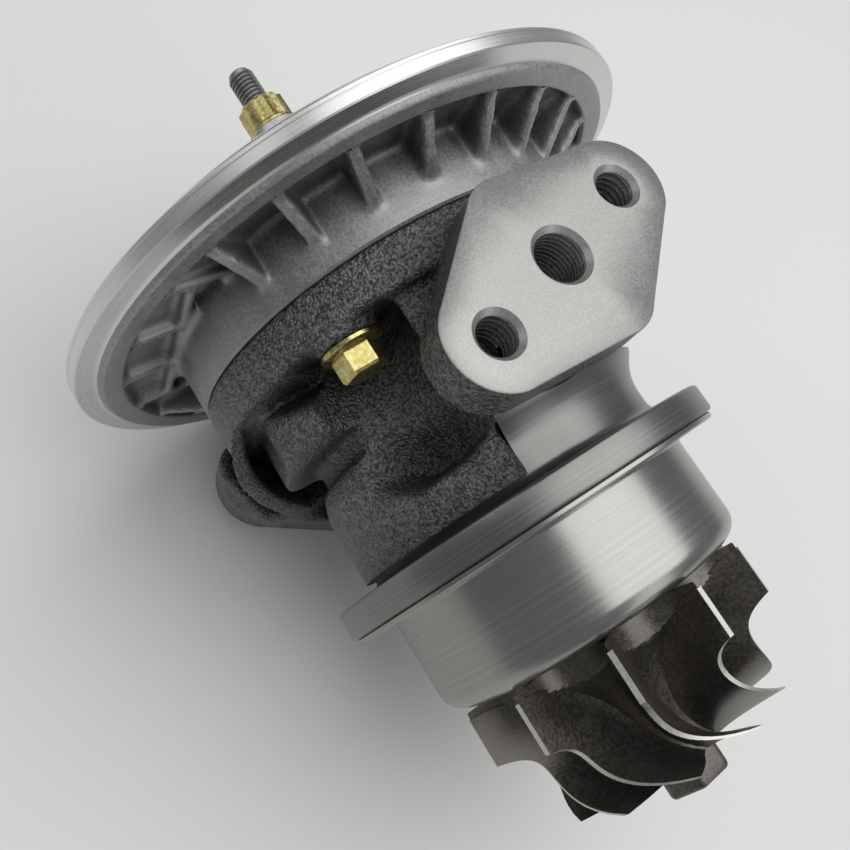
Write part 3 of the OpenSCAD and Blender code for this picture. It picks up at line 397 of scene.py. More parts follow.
def low_drum(p):
    """Lowers the drum's sides to the height of the land, after a short slope from the shoulder."""
    x, radius, angle = around(p)
    drum = LAND_R + DRUM_STEP * eased((DRUM_START + DRUM_SLOPE - x) / DRUM_SLOPE)
    side = (angle > DRUM_FROM) & (angle < DRUM_TO) & (x > DRUM_START)
    side &= (radius > DRUM_IN) & (radius < DRUM_OUT)
    drawn(p, side, radius, np.minimum(radius, drum))


NECK_START, GROOVE_X, NECK_OUT, GROOVE_OUT, LAND_EASE = 48, 54, 34.5, 38, 3


def land_and_neck(p):
    """Sinks the skin below the turned neck, and leaves the rough land up to the flange on one side."""
    x, radius, angle = around(p)
    in_groove = x > GROOVE_X
    land = np.where(in_groove, LAND_R, np.maximum(radius, LAND_R))
    on_land = eased((angle - LAND_FROM) / LAND_EASE) * (p[:, 1] < 0)
    waist = (x > NECK_START) & (radius > SUNK_R) & (radius < np.where(in_groove, GROOVE_OUT, NECK_OUT))
    drawn(p, waist, radius, SUNK_R + (land - SUNK_R) * on_land)


POCKET_WALL = ([112, 117, 123, 132, 142, 150, 156, 160, 165],
               [48.4, 49.6, 50.4, 51, 51, 49.2, 46.8, 40.9, 37.9])
POCKET_FLOOR = [112, 118, 126, 140, 150, 157, 164], [33, 28, 24, 22.8, 24, 29, 33]
# A slope of the floor is its start, its length along the shaft and its fall.
POCKET_SLOPES = (36, 11, 4.2), (31, 6, 13)
POCKET_FROM, POCKET_TO, POCKET_START, POCKET_IN, POCKET_OUT, POCKET_FADE = 112, 165, 32, 22.6, 38, 3
FAR_WALL, WALL_TOP, WALL_EASE = 47, 44, 1.8


def inlet_pocket(p):
    """Presses the pocket below the inlet pad, which ends in a steep wall at the land."""
    x, radius, angle = around(p)
    wall = np.interp(angle, *POCKET_WALL)
    wall = np.where(p[:, 1] < 0, wall, np.minimum(wall, FAR_WALL))
    floor = np.interp(angle, *POCKET_FLOOR)
    for start, length, fall in POCKET_SLOPES:
        floor = floor + fall * (1 - eased((x - start) / length))
    limit = floor + (WALL_TOP - floor) * eased((x - wall) / WALL_EASE + 1)
    depth = np.maximum(radius - limit, 0) * np.clip((POCKET_OUT - radius) / POCKET_FADE, 0, 1)
    pocket = (angle > POCKET_FROM) & (angle < POCKET_TO) & (x > POCKET_START) & (x < wall)
    drawn(p, pocket & (radius > POCKET_IN), radius, radius - depth)


BUSH_BORE_R, BORE_ROOM, BORE_WALL, BORE_START = 8.05, 0.3, 1.0, 20


def bush_bore(p):
    """Opens the bore a little, so that the remade skin stays clear of the turning bushes."""
    x, radius, _ = around(p)
    bore = (radius < BUSH_BORE_R + BORE_WALL) & (x > BORE_START)
    drawn(p, bore, radius, radius + BORE_ROOM)


def housing_pressed(p):
    """Presses all that the mould shapes beyond the plain blank."""
    for hollow in (end_hollows, low_drum, land_and_neck, inlet_pocket, bush_bore):
        hollow(p)


WEB_FROM, WEB_SWEEP, WEB_LOW, WEB_RISE, WEB_HIGH = 176, 62, 24.3, 0.25, 36
ROOT_START, ROOT_END, ROOT_IN, ROOT_OUT, ROOT_STEP = 20, 25, 39.0, 42.0, 0.3


def web():
    """The curved web from the end flange down to the drain pad, on one side of the housing."""
    bm = bmesh.new()
    section = [(ROOT_START, ROOT_IN), (ROOT_START, ROOT_OUT), (BAND_END, ROOT_OUT), (WEB_HIGH, WEB_OUT),
               (WEB_HIGH, WEB_IN), (BAND_END + ROOT_STEP, WEB_IN)]
    corners = [bm.verts.new((x * MM, r * MM, 0)) for x, r in section]
    end = bm.faces.new(corners)
    bmesh.ops.spin(bm, geom=corners + end.edges[:] + [end], cent=(0, 0, 0), axis=(1, 0, 0), dvec=(0, 0, 0),
                   angle=math.radians(WEB_SWEEP), steps=24)
    bmesh.ops.holes_fill(bm, edges=bm.edges)
    turned_by(bm, WEB_FROM)
    for v in bm.verts:
        if v.co.x > ROOT_END * MM:
            angle = math.degrees(math.atan2(v.co.z, v.co.y)) % 360
            v.co.x = min(WEB_LOW + WEB_RISE * (angle - 180), WEB_HIGH) * MM
    bmesh.ops.recalc_face_normals(bm, faces=bm.faces)
    return bm


HOLES_END, END_WALL_R, END_WALL_SHARE, TUCK = 13.5, 28, 0.92, 0.4
blank = solid_copy("bearing_housing")
for v in blank.verts:
    for level, holes in ((INLET_Z, INLET_HOLES), (DRAIN_Z, DRAIN_HOLES)):
        depth = (level - v.co.z / MM) * math.copysign(1, level)
        for hole in holes:
            if depth < HOLES_END and in_hole(v.co, hole):
                wider = (hole[2] + SPARE) / hole[2]
                v.co.x = (hole[0] + (v.co.x / MM - hole[0]) * wider) * MM
                v.co.y = (hole[1] + (v.co.y / MM - hole[1]) * wider) * MM
                break
for side in (1, -1):
    side_web = web()
    bmesh.ops.scale(side_web, verts=side_web.verts, vec=(1, side, 1))
    bmesh.ops.recalc_face_normals(side_web, faces=side_web.faces)
    joined(blank, side_web)
housing = cast_skin(blank, step=0.72, turns=10, held=housing_held, pressed=housing_pressed)
trimmed(housing, (LAND_END * MM, 0, 0), (1, 0, 0))
turned_edge = [e for e in housing.edges
               if e.is_boundary and math.hypot(*e.verts[0].co.yz) > END_WALL_R * MM]
end_wall = bmesh.ops.extrude_edge_only(housing, edges=turned_edge)["geom"]
bmesh.ops.scale(housing, verts=[v for v in end_wall if isinstance(v, bmesh.types.BMVert)],
                vec=(1, END_WALL_SHARE, END_WALL_SHARE))
trimmed(housing, (0, 0, (INLET_Z - LIP - TUCK) * MM), (0, 0, 1))
trimmed(housing, (0, 0, (DRAIN_Z + LIP + TUCK) * MM), (0, 0, -1))


def pad_face(level, holes):
    """The machined face of a pad with its edge broken, and a short skirt down to the cast side."""
    up = math.copysign(1, level)
    pad = solid_copy("bearing_housing")
    off_level = 0.01 * MM
    others = [f for f in pad.faces if any(abs(v.co.z - level * MM) > off_level for v in f.verts)]
    bmesh.ops.delete(pad, geom=others, context="FACES")
    for f in pad.faces:
        f.material_index = MILLED
    bmesh.ops.inset_region(pad, faces=pad.faces[:], thickness=LIP * MM, use_boundary=True,
                           use_even_offset=True)
    outline = [e for e in pad.edges
           if e.is_boundary and not any(in_hole(e.verts[0].co, hole) for hole in holes)]
    bmesh.ops.translate(pad, verts=list({v for e in outline for v in e.verts}), vec=(0, 0, -up * LIP * MM))
    skirt = bmesh.ops.extrude_edge_only(pad, edges=outline)["geom"]
    bmesh.ops.translate(pad, verts=[v for v in skirt if isinstance(v, bmesh.types.BMVert)],
                        vec=(0, 0, -up * SKIRT * MM))
    for f in skirt:
        if isinstance(f, bmesh.types.BMFace):
            f.material_index = AS_CAST
    bmesh.ops.recalc_face_normals(pad, faces=pad.faces)
    return pad


def upright(bm, hole, level):
    """Turns a hole that was made along the shaft's line to go down from its pad's face."""
    up = math.copysign(1, level)
    turn = Matrix.Rotation(math.radians(-90 * up), 3, "Y")
    bmesh.ops.rotate(bm, verts=bm.verts, cent=(0, 0, 0), matrix=turn)
    bmesh.ops.translate(bm, verts=bm.verts, vec=Vector((hole[0], hole[1], level)) * MM)


THREAD_DEPTH, CREST_DEPTH, DRILL_POINT = 0.6, 0.1, 0.3


def tapped_hole(hole, level, depth, pitch):
    """Lead chamfer, thread and floor of a tapped hole in a pad, with painted highlight on the thread's
    crests.
    """
    crest = hole[2]
    root = crest + THREAD_DEPTH * pitch
    turns = math.ceil((depth - LEAD) / pitch)
    tapped = thread(root, crest, pitch, -LEAD - turns * pitch, turns)
    trimmed(tapped, (-LEAD * MM, 0, 0), (1, 0, 0))
    # Crests take the pale material as a painted highlight, roots the tapped iron.
    for f in tapped.faces:
        on_crest = math.hypot(*f.calc_center_median().yz) < (crest + CREST_DEPTH * pitch) * MM
        f.material_index = CREST_HIGHLIGHT if on_crest else TAPPED
    joined(tapped, spun([(0, crest + LEAD), (-LEAD, crest)], 64), MILLED)
    joined(tapped, spun([(-depth, root), (-depth - DRILL_POINT, 0)], 32), TAPPED)
    upright(tapped, hole, level)
    return tapped


joined(housing, pad_face(INLET_Z, INLET_HOLES))
joined(housing, pad_face(DRAIN_Z, DRAIN_HOLES))
inlet, *inlet_bolts = INLET_HOLES
drain, *drain_bolts = DRAIN_HOLES
joined(housing, tapped_hole(inlet, INLET_Z, depth=13.0, pitch=1.0))
for hole in inlet_bolts:
    joined(housing, tapped_hole(hole, INLET_Z, depth=8.2, pitch=1.25))
for hole in drain_bolts:
    joined(housing, tapped_hole(hole, DRAIN_Z, depth=6.6, pitch=1.0))
DRAIN_R, DRAIN_EDGE, DRAIN_DEPTH = 9.3, 0.4, 14
drain_bore = spun([(0, drain[2]), (-DRAIN_EDGE, DRAIN_R), (-DRAIN_DEPTH, DRAIN_R)], 96)
upright(drain_bore, drain, DRAIN_Z)
joined(housing, drain_bore, TAPPED)

FLANGE_R, FLANGE_X, FLANGE_END, FILLET, CHAMFER, BREAK, END_BREAK = 40.2, 59.3, 64.7, 2.2, 0.6, 0.2, 0.15
FLARE_X, FLARE, FLARE_END, FLARE_R, NECK_FROM, NECK_SWEEP = 54.5, 0.058, 46.8, 34.2, 269, 204
SEAM_X = LAND_END - 1
SPIGOT_R, SPIGOT_X, SPIGOT_END, SPIGOT_TIP_R, SEAL_R, SEAL_X = 17.0, 72.3, 80.0, 14.0, 9.3, 62.0
neck = [(SEAM_X, NECK_R)]
neck += [(FLARE_X - k, NECK_R + FLARE * k * k) for k in range(8)]
neck += [(FLARE_END, FLARE_R)]
joined(housing, turned_by(spun(neck, 120, NECK_SWEEP), NECK_FROM), TURNED)
flange = [(SEAM_X, NECK_R)]
flange += arc((FLANGE_X - FILLET, NECK_R + FILLET), FILLET, -90, 0, 12)
flange += [(FLANGE_X, FLANGE_R - CHAMFER), (FLANGE_X + BREAK, FLANGE_R - BREAK),
           (FLANGE_X + CHAMFER, FLANGE_R), (FLANGE_END - CHAMFER, FLANGE_R),
           (FLANGE_END - END_BREAK, FLANGE_R - BREAK), (FLANGE_END, FLANGE_R - CHAMFER),
           (FLANGE_END, SPIGOT_R), (SPIGOT_X, SPIGOT_R), (SPIGOT_END, SPIGOT_TIP_R), (SPIGOT_END, SEAL_R),
           (SEAL_X, SEAL_R)]
joined(housing, spun(flange), TURNED)
piece(housing, "bearing_housing_casting", [cast_iron, milled_iron, turned_iron, tapped_iron, crest_highlight],
      "housing", "cast_iron", "bearing_housing")

# Floating bushes and their snap rings
# Two turned bronze bushes float in the oil of the housing's bore, with oil holes drilled around them.
# Each is kept in place by a pair of spring steel rings that snap into grooves of the bore.
bronze = finish("bronze", tool_marks, {"Lines": 3000.0, "Cloud": 120.0},
                dark=(0.36, 0.22, 0.08), light=(0.52, 0.34, 0.14),
                rough=(0.28, 0.40), relief=(0.2, 0.03), metal=0.9)
hard_steel = finish("hard_steel", tool_marks, {"Lines": 3000.0, "Cloud": 120.0},
                    dark=(0.09, 0.09, 0.095), light=(0.17, 0.17, 0.175),
                    rough=(0.30, 0.45), relief=(0.2, 0.03), metal=0.85)
for name in ("compressor_bush", "turbine_bush"):
    nodes[name].data.materials[0] = bronze
for name in ("compressor_bush_rings", "turbine_bush_rings"):
    nodes[name].data.materials[0] = hard_steel

# Heat shield
# A cup drawn from stainless sheet that keeps the turbine's heat off the housing.
# Its lip is clamped between the turbine flange and the turbine casing.
stainless = finish("stainless_sheet", tool_marks, {"Lines": 1500.0, "Cloud": 60.0},
                   dark=(0.27, 0.266, 0.256), light=(0.325, 0.32, 0.308),
                   rough=(0.24, 0.29), relief=(0.03, 0.01), metal=0.95)
CUP_R, CUP_END, CUP_CORNER, LIP_R, SHEET, CUP_HOLE = 31.9, 85.2, 4.0, 39.4, 1.2, 12.5
LIP_EDGE, LIP_BEND = 0.3, 0.8
corner = CUP_END - CUP_CORNER, CUP_R - CUP_CORNER
cup = [(FLANGE_END, LIP_R - LIP_EDGE), (FLANGE_END + LIP_EDGE, LIP_R), (FLANGE_END + SHEET - LIP_EDGE, LIP_R),
       (FLANGE_END + SHEET, LIP_R - LIP_EDGE)]
cup += arc((FLANGE_END + SHEET + LIP_BEND, CUP_R + LIP_BEND), LIP_BEND, 180, 270, 5)
cup += arc(corner, CUP_CORNER, 90, 0, 12)
cup += [(CUP_END, CUP_HOLE), (CUP_END - SHEET, CUP_HOLE)]
cup += arc(corner, CUP_CORNER - SHEET, 0, 90, 8)
cup += [(FLANGE_END, CUP_R - SHEET), (FLANGE_END, LIP_R - LIP_EDGE)]
piece(spun(cup), "heat_shield_cup", [stainless], "housing", "stainless_sheet", "heat_shield")

# Turbine wheel
# Cast in a heat-proof nickel alloy with its blades on a scalloped back disc; the skin has gone dark brown.
# After casting the blade edges are ground to fit the turbine casing, so they stay bright.
cast_alloy = finish("cast_alloy", sand_skin, {"Grain": 1800.0, "Cloud": 120.0},
                    dark=(0.09, 0.082, 0.073), light=(0.16, 0.147, 0.131),
                    rough=(0.32, 0.46), relief=(0.25, 0.08), metal=0.75)
ground_alloy = finish("ground_alloy", sand_skin, {"Grain": 2500.0, "Cloud": 300.0},
                      dark=(0.46, 0.452, 0.43), light=(0.56, 0.548, 0.525),
                      rough=(0.32, 0.42), relief=(0.05, 0.02), metal=0.8)
TURBINE_BACK, TURBINE_R, OUTLET_R, TURBINE_LEN, LEAD_LEN = 86.0, 29.9, 22.5, 25.5, 10.2
TURBINE_HUB_R, TURBINE_HUB_END, DISC_T, STUB_R = 8.0, 113.0, 2.0, 8.9
TURBINE_BLADES, FIRST_BLADE, SCALLOP_R, SCALLOP_AT = 10, 13.8, 8.3, 28.0
CURL, CURL_POWER, TIP_POWER, ROOT_SINK = -37.7, 3.4, 8, 0.8
EDGE_T, TAPER_T, ROOT_T, ROOT_HEIGHT = 1.0, 1.4, 2.4, 0.3


def quarter(t):
    """Sine and cosine of a share of a quarter turn."""
    return math.sin(math.pi / 2 * t), math.cos(math.pi / 2 * t)


def turbine_hub(t):
    """Position and radius on the hub's curve, from the back disc's edge to the nose."""
    sine, cosine = quarter(t)
    return (TURBINE_HUB_END - (TURBINE_HUB_END - TURBINE_BACK - DISC_T) * cosine,
            TURBINE_R - (TURBINE_R - TURBINE_HUB_R) * sine)


def turbine_blade(t, s, side):
    """A point of a blade by its share along the hub, its share of height, and its side."""
    sine, cosine = quarter(t)
    foot_x, foot_r = turbine_hub(t)
    tip_x = TURBINE_BACK + LEAD_LEN + (TURBINE_LEN - LEAD_LEN) * t * t
    tip_r = OUTLET_R + (TURBINE_R - OUTLET_R) * (1 - t * t) ** TIP_POWER
    x = (foot_x - ROOT_SINK * cosine) * (1 - s) + tip_x * s
    r = (foot_r - ROOT_SINK * sine) * (1 - s) + tip_r * s
    curl = CURL * max(0, (x - TURBINE_BACK - LEAD_LEN) / (TURBINE_LEN - LEAD_LEN)) ** CURL_POWER
    fillet = ROOT_T * max(0, 1 - s / ROOT_HEIGHT) ** 2
    thickness = EDGE_T + min(1, 2 * t) * (TAPER_T * (1 - s) + fillet)
    return x, r, math.radians(curl) + side * thickness / 2 / r


GROUND_EDGE = 1


def blade(point, along=30, across=10):
    """A blade from two grids that follow its sides, bridged around its ground edge."""
    bm = bmesh.new()
    for side in (-1, 1):
        for v in bmesh.ops.create_grid(bm, x_segments=along, y_segments=across, size=0.5)["verts"]:
            x, r, a = point(v.co.x + 0.5, v.co.y + 0.5, side)
            v.co = Vector((x, r * math.cos(a), r * math.sin(a))) * MM
    edge = bmesh.ops.bridge_loops(bm, edges=[e for e in bm.edges if e.is_boundary])
    for f in edge["faces"]:
        f.material_index = GROUND_EDGE
    bmesh.ops.recalc_face_normals(bm, faces=bm.faces)
    return bm


WELD_X, STUB_END, STUB_FLARE, DISC_EDGE, HUB_SINK = 79.0, 83.2, 2, 0.2, 0.3
turbine_disc = [(WELD_X, 0), (WELD_X, STUB_R), (STUB_END, STUB_R), (TURBINE_BACK, STUB_R + STUB_FLARE),
                (TURBINE_BACK, TURBINE_R - HUB_SINK - DISC_EDGE),
                (TURBINE_BACK + DISC_EDGE, TURBINE_R - HUB_SINK)]
turbine_disc += [(x, r - HUB_SINK) for x, r in map(turbine_hub, np.linspace(0, 1, 40))]
turbine_disc += [(TURBINE_HUB_END, 0)]
turbine = spun(turbine_disc, 360)
blade_step = 360 / TURBINE_BLADES
for v in turbine.verts:
    radius = math.hypot(v.co.y, v.co.z) / MM
    angle = math.degrees(math.atan2(v.co.z, v.co.y))
    aside = math.radians((angle - FIRST_BLADE) % blade_step - blade_step / 2)
    across = SCALLOP_AT * math.sin(aside)
    if abs(across) < SCALLOP_R:
        scallop = SCALLOP_AT * math.cos(aside) - math.sqrt(SCALLOP_R ** 2 - across ** 2)
        if radius > scallop:
            v.co.yz = v.co.yz * scallop / radius
for k in range(TURBINE_BLADES):
    joined(turbine, turned_by(blade(turbine_blade), FIRST_BLADE + k * blade_step))
BOSS_R, BOSS_LEN, BOSS_EDGE, BOSS_X = 6.9, 6.3, 0.9, 115.15
boss = bmesh.new()
bmesh.ops.create_cone(boss, cap_ends=True, segments=6, radius1=BOSS_R * MM, radius2=BOSS_R * MM,
                      depth=BOSS_LEN * MM)
bmesh.ops.bevel(boss, geom=boss.edges[:], offset=BOSS_EDGE * MM, segments=4, profile=0.5, affect="EDGES",
                material=-1)
along_shaft = Matrix.Rotation(math.radians(90), 3, "Y")
bmesh.ops.rotate(boss, verts=boss.verts, cent=(0, 0, 0), matrix=along_shaft)
bmesh.ops.translate(boss, verts=boss.verts, vec=(BOSS_X * MM, 0, 0))
joined(turbine, boss)
piece(turbine, "turbine_wheel_casting", [cast_alloy, ground_alloy], "rotor", "cast_alloy", "turbine_wheel")

# Turbine shaft
# Ground steel, friction welded to the turbine wheel. It steps down through both bushes to the compressor end,
# where its thread is rolled for the shaft nut.
ground_steel = finish("ground_steel", tool_marks, {"Lines": 3500.0, "Cloud": 120.0},
                      dark=(0.22, 0.215, 0.21), light=(0.34, 0.335, 0.33),
                      rough=(0.30, 0.42), relief=(0.2, 0.03), metal=0.9)
THREAD_R, CORE_R, SHAFT_TIP, THREAD_END = 2.95, 2.4, -50.5, -32.9
SEAT_R, JOURNAL_R, WAIST_R, RING_GROOVE_R = 3.5, 5.0, 4.5, 7.5
shaft_steps = [(SHAFT_TIP, 0), (SHAFT_TIP, 1.5), (SHAFT_TIP + 0.15, 1.9), (SHAFT_TIP + 0.6, CORE_R),
               (-40.0, CORE_R), (-39.5, THREAD_R), (THREAD_END, THREAD_R), (THREAD_END, SEAT_R),
               (21.46, SEAT_R), (21.46, JOURNAL_R), (34.16, JOURNAL_R), (34.5, WAIST_R), (49.3, WAIST_R),
               (49.66, JOURNAL_R), (61.96, JOURNAL_R), (64.56, STUB_R), (73.42, STUB_R),
               (73.42, RING_GROOVE_R), (75.08, RING_GROOVE_R), (75.08, STUB_R), (WELD_X, STUB_R), (WELD_X, 0)]
shaft = spun(shaft_steps, 96)
TIP_R, TIP_SLOPE = 1.75, 0.75
rolled = thread(CORE_R, THREAD_R, pitch=1.0, start=SHAFT_TIP, turns=11)
for v in rolled.verts:
    radius = math.hypot(v.co.y, v.co.z) / MM
    tip = TIP_R + (v.co.x / MM - SHAFT_TIP) * TIP_SLOPE
    if radius > tip:
        v.co.yz = v.co.yz * tip / radius
joined(shaft, rolled)
piece(shaft, "turbine_shaft_steel", [ground_steel], "rotor", "ground_steel", "turbine_shaft")

# Thrust parts and seals
# A bronze thrust bearing is screwed to the housing between a hardened collar and the oil flinger.
# Piston rings seal the shaft at both ends, and a sheet baffle turns the oil down to the drain.
nodes["thrust_bearing"].data.materials[0] = bronze
nodes["oil_baffle"].data.materials[0] = stainless
for name in ("thrust_collar", "thrust_screws", "oil_flinger", "compressor_seal_ring", "turbine_seal_ring"):
    nodes[name].data.materials[0] = hard_steel

# Backplate
# A die-cast aluminium disc that closes the compressor end. Its rim and the faces behind it are turned bright.
# Inside the raised ring the skin is as cast, with gusset ribs and a small ladder of walls at one side.
# The die-cast skin's colour gets painted shade in its hollows, such as the trough between the ribs.
die_cast = finish("die_cast", sand_skin, {"Grain": 2200.0, "Cloud": 160.0},
                  dark=(0.27, 0.275, 0.28), light=(0.40, 0.405, 0.41),
                  rough=(0.44, 0.58), relief=(0.3, 0.08), metal=0.7, shade_reach=10)
turned_alloy = finish("turned_alloy", tool_marks, {"Lines": 2200.0, "Cloud": 50.0},
                      dark=(0.60, 0.60, 0.59), light=(0.69, 0.69, 0.678),
                      rough=(0.25, 0.32), relief=(0.06, 0.01), metal=0.9)
HUB_R, RING_IN, RIM_R, RIM_X, RING_X, JOINT_X = 42.3, 53.0, 61.7, 1.65, 3.65, 14.05
TROUGH_IN, TROUGH_X, WALL_SKIN, WALL_END = 40.5, 0.4, 0.25, 13.2
RING_DROP, UNDER_RING, BESIDE_RING = 0.15, 1.0, 0.35


def in_trough(f):
    """True for the cast skin from the hub wall to the raised ring, and on below the ring's round corner."""
    centre = f.calc_center_median() / MM
    radius = math.hypot(centre.y, centre.z)
    outside = RING_IN + (UNDER_RING if centre.x < RING_X - RING_DROP else BESIDE_RING)
    on_wall = radius > HUB_R - WALL_SKIN or centre.x < WALL_END
    return TROUGH_IN < radius < outside and centre.x > TROUGH_X and on_wall


BRIGHT = 1
plate = cast_skin(solid_copy("compressor_backplate"), step=0.62, turns=9)
bmesh.ops.delete(plate, geom=[f for f in plate.faces if not in_trough(f)], context="FACES")
FACE_R, HUB_BAND, HUB_CHAMFER = 40.0, 1.4, 0.4
hub_edge = [(JOINT_X - HUB_BAND, HUB_R), (JOINT_X - HUB_CHAMFER, HUB_R), (JOINT_X, HUB_R - HUB_CHAMFER),
            (JOINT_X, FACE_R)]
joined(plate, spun(hub_edge, 240), AS_CAST)
REGISTER_R, REGISTER_X, CAVITY_R, CAVITY_X, SLEEVE_R = 29.9, 19.05, 25.0, 11.4, 8.7
WHEEL_ROOM_R, WHEEL_ROOM_X, FRONT_X, FRONT_EDGE, COVER_R = 36.3, 1.6, -4.55, 0.2, 57.0
COVER_EDGE, RIM_EDGE, BACK_EDGE, LINE_DEPTH = 0.4, 0.35, 0.25, 0.12
SEAL_IN, SEAL_FRONT, SEAL_BACK, RING_FOOT = 55.0, -4.13, -2.0, (RIM_X + 0.95, 57.85)
rim = [(JOINT_X, FACE_R), (JOINT_X, REGISTER_R), (REGISTER_X, REGISTER_R), (REGISTER_X, CAVITY_R),
       (CAVITY_X, CAVITY_R), (CAVITY_X, SLEEVE_R), (WHEEL_ROOM_X, SLEEVE_R), (WHEEL_ROOM_X, WHEEL_ROOM_R),
       (FRONT_X + FRONT_EDGE, WHEEL_ROOM_R), (FRONT_X, WHEEL_ROOM_R + FRONT_EDGE),
       (FRONT_X, COVER_R - COVER_EDGE), (FRONT_X + COVER_EDGE, COVER_R), (SEAL_FRONT, COVER_R),
       (SEAL_FRONT, SEAL_IN), (SEAL_BACK, SEAL_IN), (SEAL_BACK, COVER_R), (-RIM_X, COVER_R),
       (-RIM_X, RIM_R - RIM_EDGE), (-RIM_X + RIM_EDGE, RIM_R), (-0.75, RIM_R), (-0.65, RIM_R - LINE_DEPTH),
       (-0.5, RIM_R - LINE_DEPTH), (-0.4, RIM_R), (RIM_X - BACK_EDGE, RIM_R), (RIM_X, RIM_R - BACK_EDGE),
       (RIM_X + 0.55, 58.75), (RIM_X + 0.7, 58.2), RING_FOOT]
joined(plate, spun(rim, 240), BRIGHT)
RING_OUT, OUT_ROUND, IN_ROUND = 57.65, 0.9, 0.7
ring = [RING_FOOT]
ring += arc((RING_X - OUT_ROUND, RING_OUT - OUT_ROUND), OUT_ROUND, 60, 0, 4)
ring += [(RING_X, RING_IN + 0.9)]
ring += arc((RING_X - IN_ROUND, RING_IN + 0.75), IN_ROUND, 0, -80, 5)
ring += [(RING_X - 1.6, RING_IN - 0.12)]
joined(plate, spun(ring, 240), AS_CAST)
piece(plate, "backplate_casting", [die_cast, turned_alloy], "housing", "die_cast", "compressor_backplate")

# Rubber rings
# Two moulded rings of black nitrile rubber, stretched into turned grooves.
# One seals the backplate's register in the housing, the other its rim in the compressor cover.
rubber = finish("black_rubber", sand_skin, {"Grain": 3000.0, "Cloud": 500.0},
                dark=(0.008, 0.008, 0.008), light=(0.02, 0.02, 0.02),
                rough=(0.55, 0.7), relief=(0.1, 0.03), metal=0.0)
for name in ("backplate_oring", "cover_oring"):
    nodes[name].data.materials[0] = rubber

# Backplate bolts
# Four steel flange bolts, cold headed with a hexagon and zinc plated yellow.
# They are screwed in from the housing's pockets and hold the backplate.
yellow_zinc = finish("yellow_zinc", sand_skin, {"Grain": 1500.0, "Cloud": 300.0},
                     dark=(0.36, 0.31, 0.10), light=(0.64, 0.57, 0.29),
                     rough=(0.2, 0.32), relief=(0.15, 0.05), metal=0.95)


def headed(radii, first, foot, top, chamfer):
    """A wrenching head: a polygon with corners at these radii, drawn out and chamfered at its top."""
    bm = bmesh.new()
    corners = bmesh.ops.create_circle(bm, cap_ends=True, segments=len(radii), radius=1)["verts"]
    for k, v in enumerate(corners):
        a = math.radians(first + 360 * k / len(radii))
        v.co = Vector((foot, radii[k] * math.cos(a), radii[k] * math.sin(a))) * MM
    end = bm.faces[:]
    straight_end = top - math.copysign(chamfer, top - foot)
    for place, share in ((straight_end, 1.0), (top, 1 - chamfer / max(radii))):
        grown = bmesh.ops.extrude_face_region(bm, geom=end)["geom"]
        if share < 1:
            bmesh.ops.delete(bm, geom=end, context="FACES_ONLY")
        end = [f for f in grown if isinstance(f, bmesh.types.BMFace)]
        for v in end[0].verts:
            v.co = Vector((place * MM, v.co.y * share, v.co.z * share))
    bmesh.ops.recalc_face_normals(bm, faces=bm.faces)
    return bm


BOLT_COUNT, FIRST_BOLT, BOLT_AT, BOLT_SEAT, BOLT_END, BOLT_R, BOLT_POINT = 4, 45, 35.5, 24.2, 6.05, 3.0, 0.4
COLLAR_R, HEX_R, HEX_TURN, HEX_FOOT, HEX_TOP, HEX_CHAMFER = 5.9, 4.39, -57, 1.0, 5.5, 0.45
bolt_steps = [(BOLT_END, 0), (BOLT_END, BOLT_R - BOLT_POINT), (BOLT_END + BOLT_POINT, BOLT_R),
              (BOLT_SEAT, BOLT_R), (BOLT_SEAT, COLLAR_R - 0.25), (BOLT_SEAT + 0.15, COLLAR_R),
              (BOLT_SEAT + 0.75, COLLAR_R), (BOLT_SEAT + HEX_FOOT, COLLAR_R - 0.3), (BOLT_SEAT + 1.5, 4.3),
              (BOLT_SEAT + 1.6, 0)]
bolts = bmesh.new()
for k in range(BOLT_COUNT):
    bolt = spun(bolt_steps, 64)
    joined(bolt, headed([HEX_R] * 6, HEX_TURN, BOLT_SEAT + HEX_FOOT, BOLT_SEAT + HEX_TOP, HEX_CHAMFER))
    bmesh.ops.translate(bolt, verts=bolt.verts, vec=(0, BOLT_AT * MM, 0))
    joined(bolts, turned_by(bolt, FIRST_BOLT + 360 / BOLT_COUNT * k))
piece(bolts, "flange_bolts", [yellow_zinc], "housing", "plated_steel", "backplate_bolts")

# Compressor wheel
# Cast in light alloy with splitters between its full blades, then machined at its back, bore and nose.
# It slides on to the shaft and is clamped there by the nut.
wheel_alloy = finish("wheel_alloy", sand_skin, {"Grain": 2400.0, "Cloud": 200.0},
                     dark=(0.44, 0.45, 0.46), light=(0.56, 0.57, 0.58),
                     rough=(0.26, 0.36), relief=(0.08, 0.04), metal=0.9)
WHEEL_R, WHEEL_FRONT, WHEEL_LEN, WHEEL_BACK, INDUCER_R, OUTLET_H = 35.0, -22.9, 22.3, 0.8, 21.3, 4.6
WHEEL_HUB_R, WHEEL_TIP, NOSE_R, NOSE_FLARE, NOSE_EDGE, WHEEL_BORE_R = 7.6, -33.4, 6.7, 1.5, 0.4, 3.52
FULL_BLADES, SPLITTER, INLET_TURN, INLET_POWER, OUTLET_TURN = 6, 0.34, 36, 1.8, 22
FOOT_T, THINNING, FOOT_FILLET, FOOT_HEIGHT = 1.8, 1.0, 1.6, 0.25


def wheel_hub(t):
    """Position and radius on the hub's curve, from the inlet to the outlet."""
    sine, cosine = quarter(t)
    return WHEEL_FRONT + WHEEL_LEN * sine, WHEEL_R - (WHEEL_R - WHEEL_HUB_R) * cosine


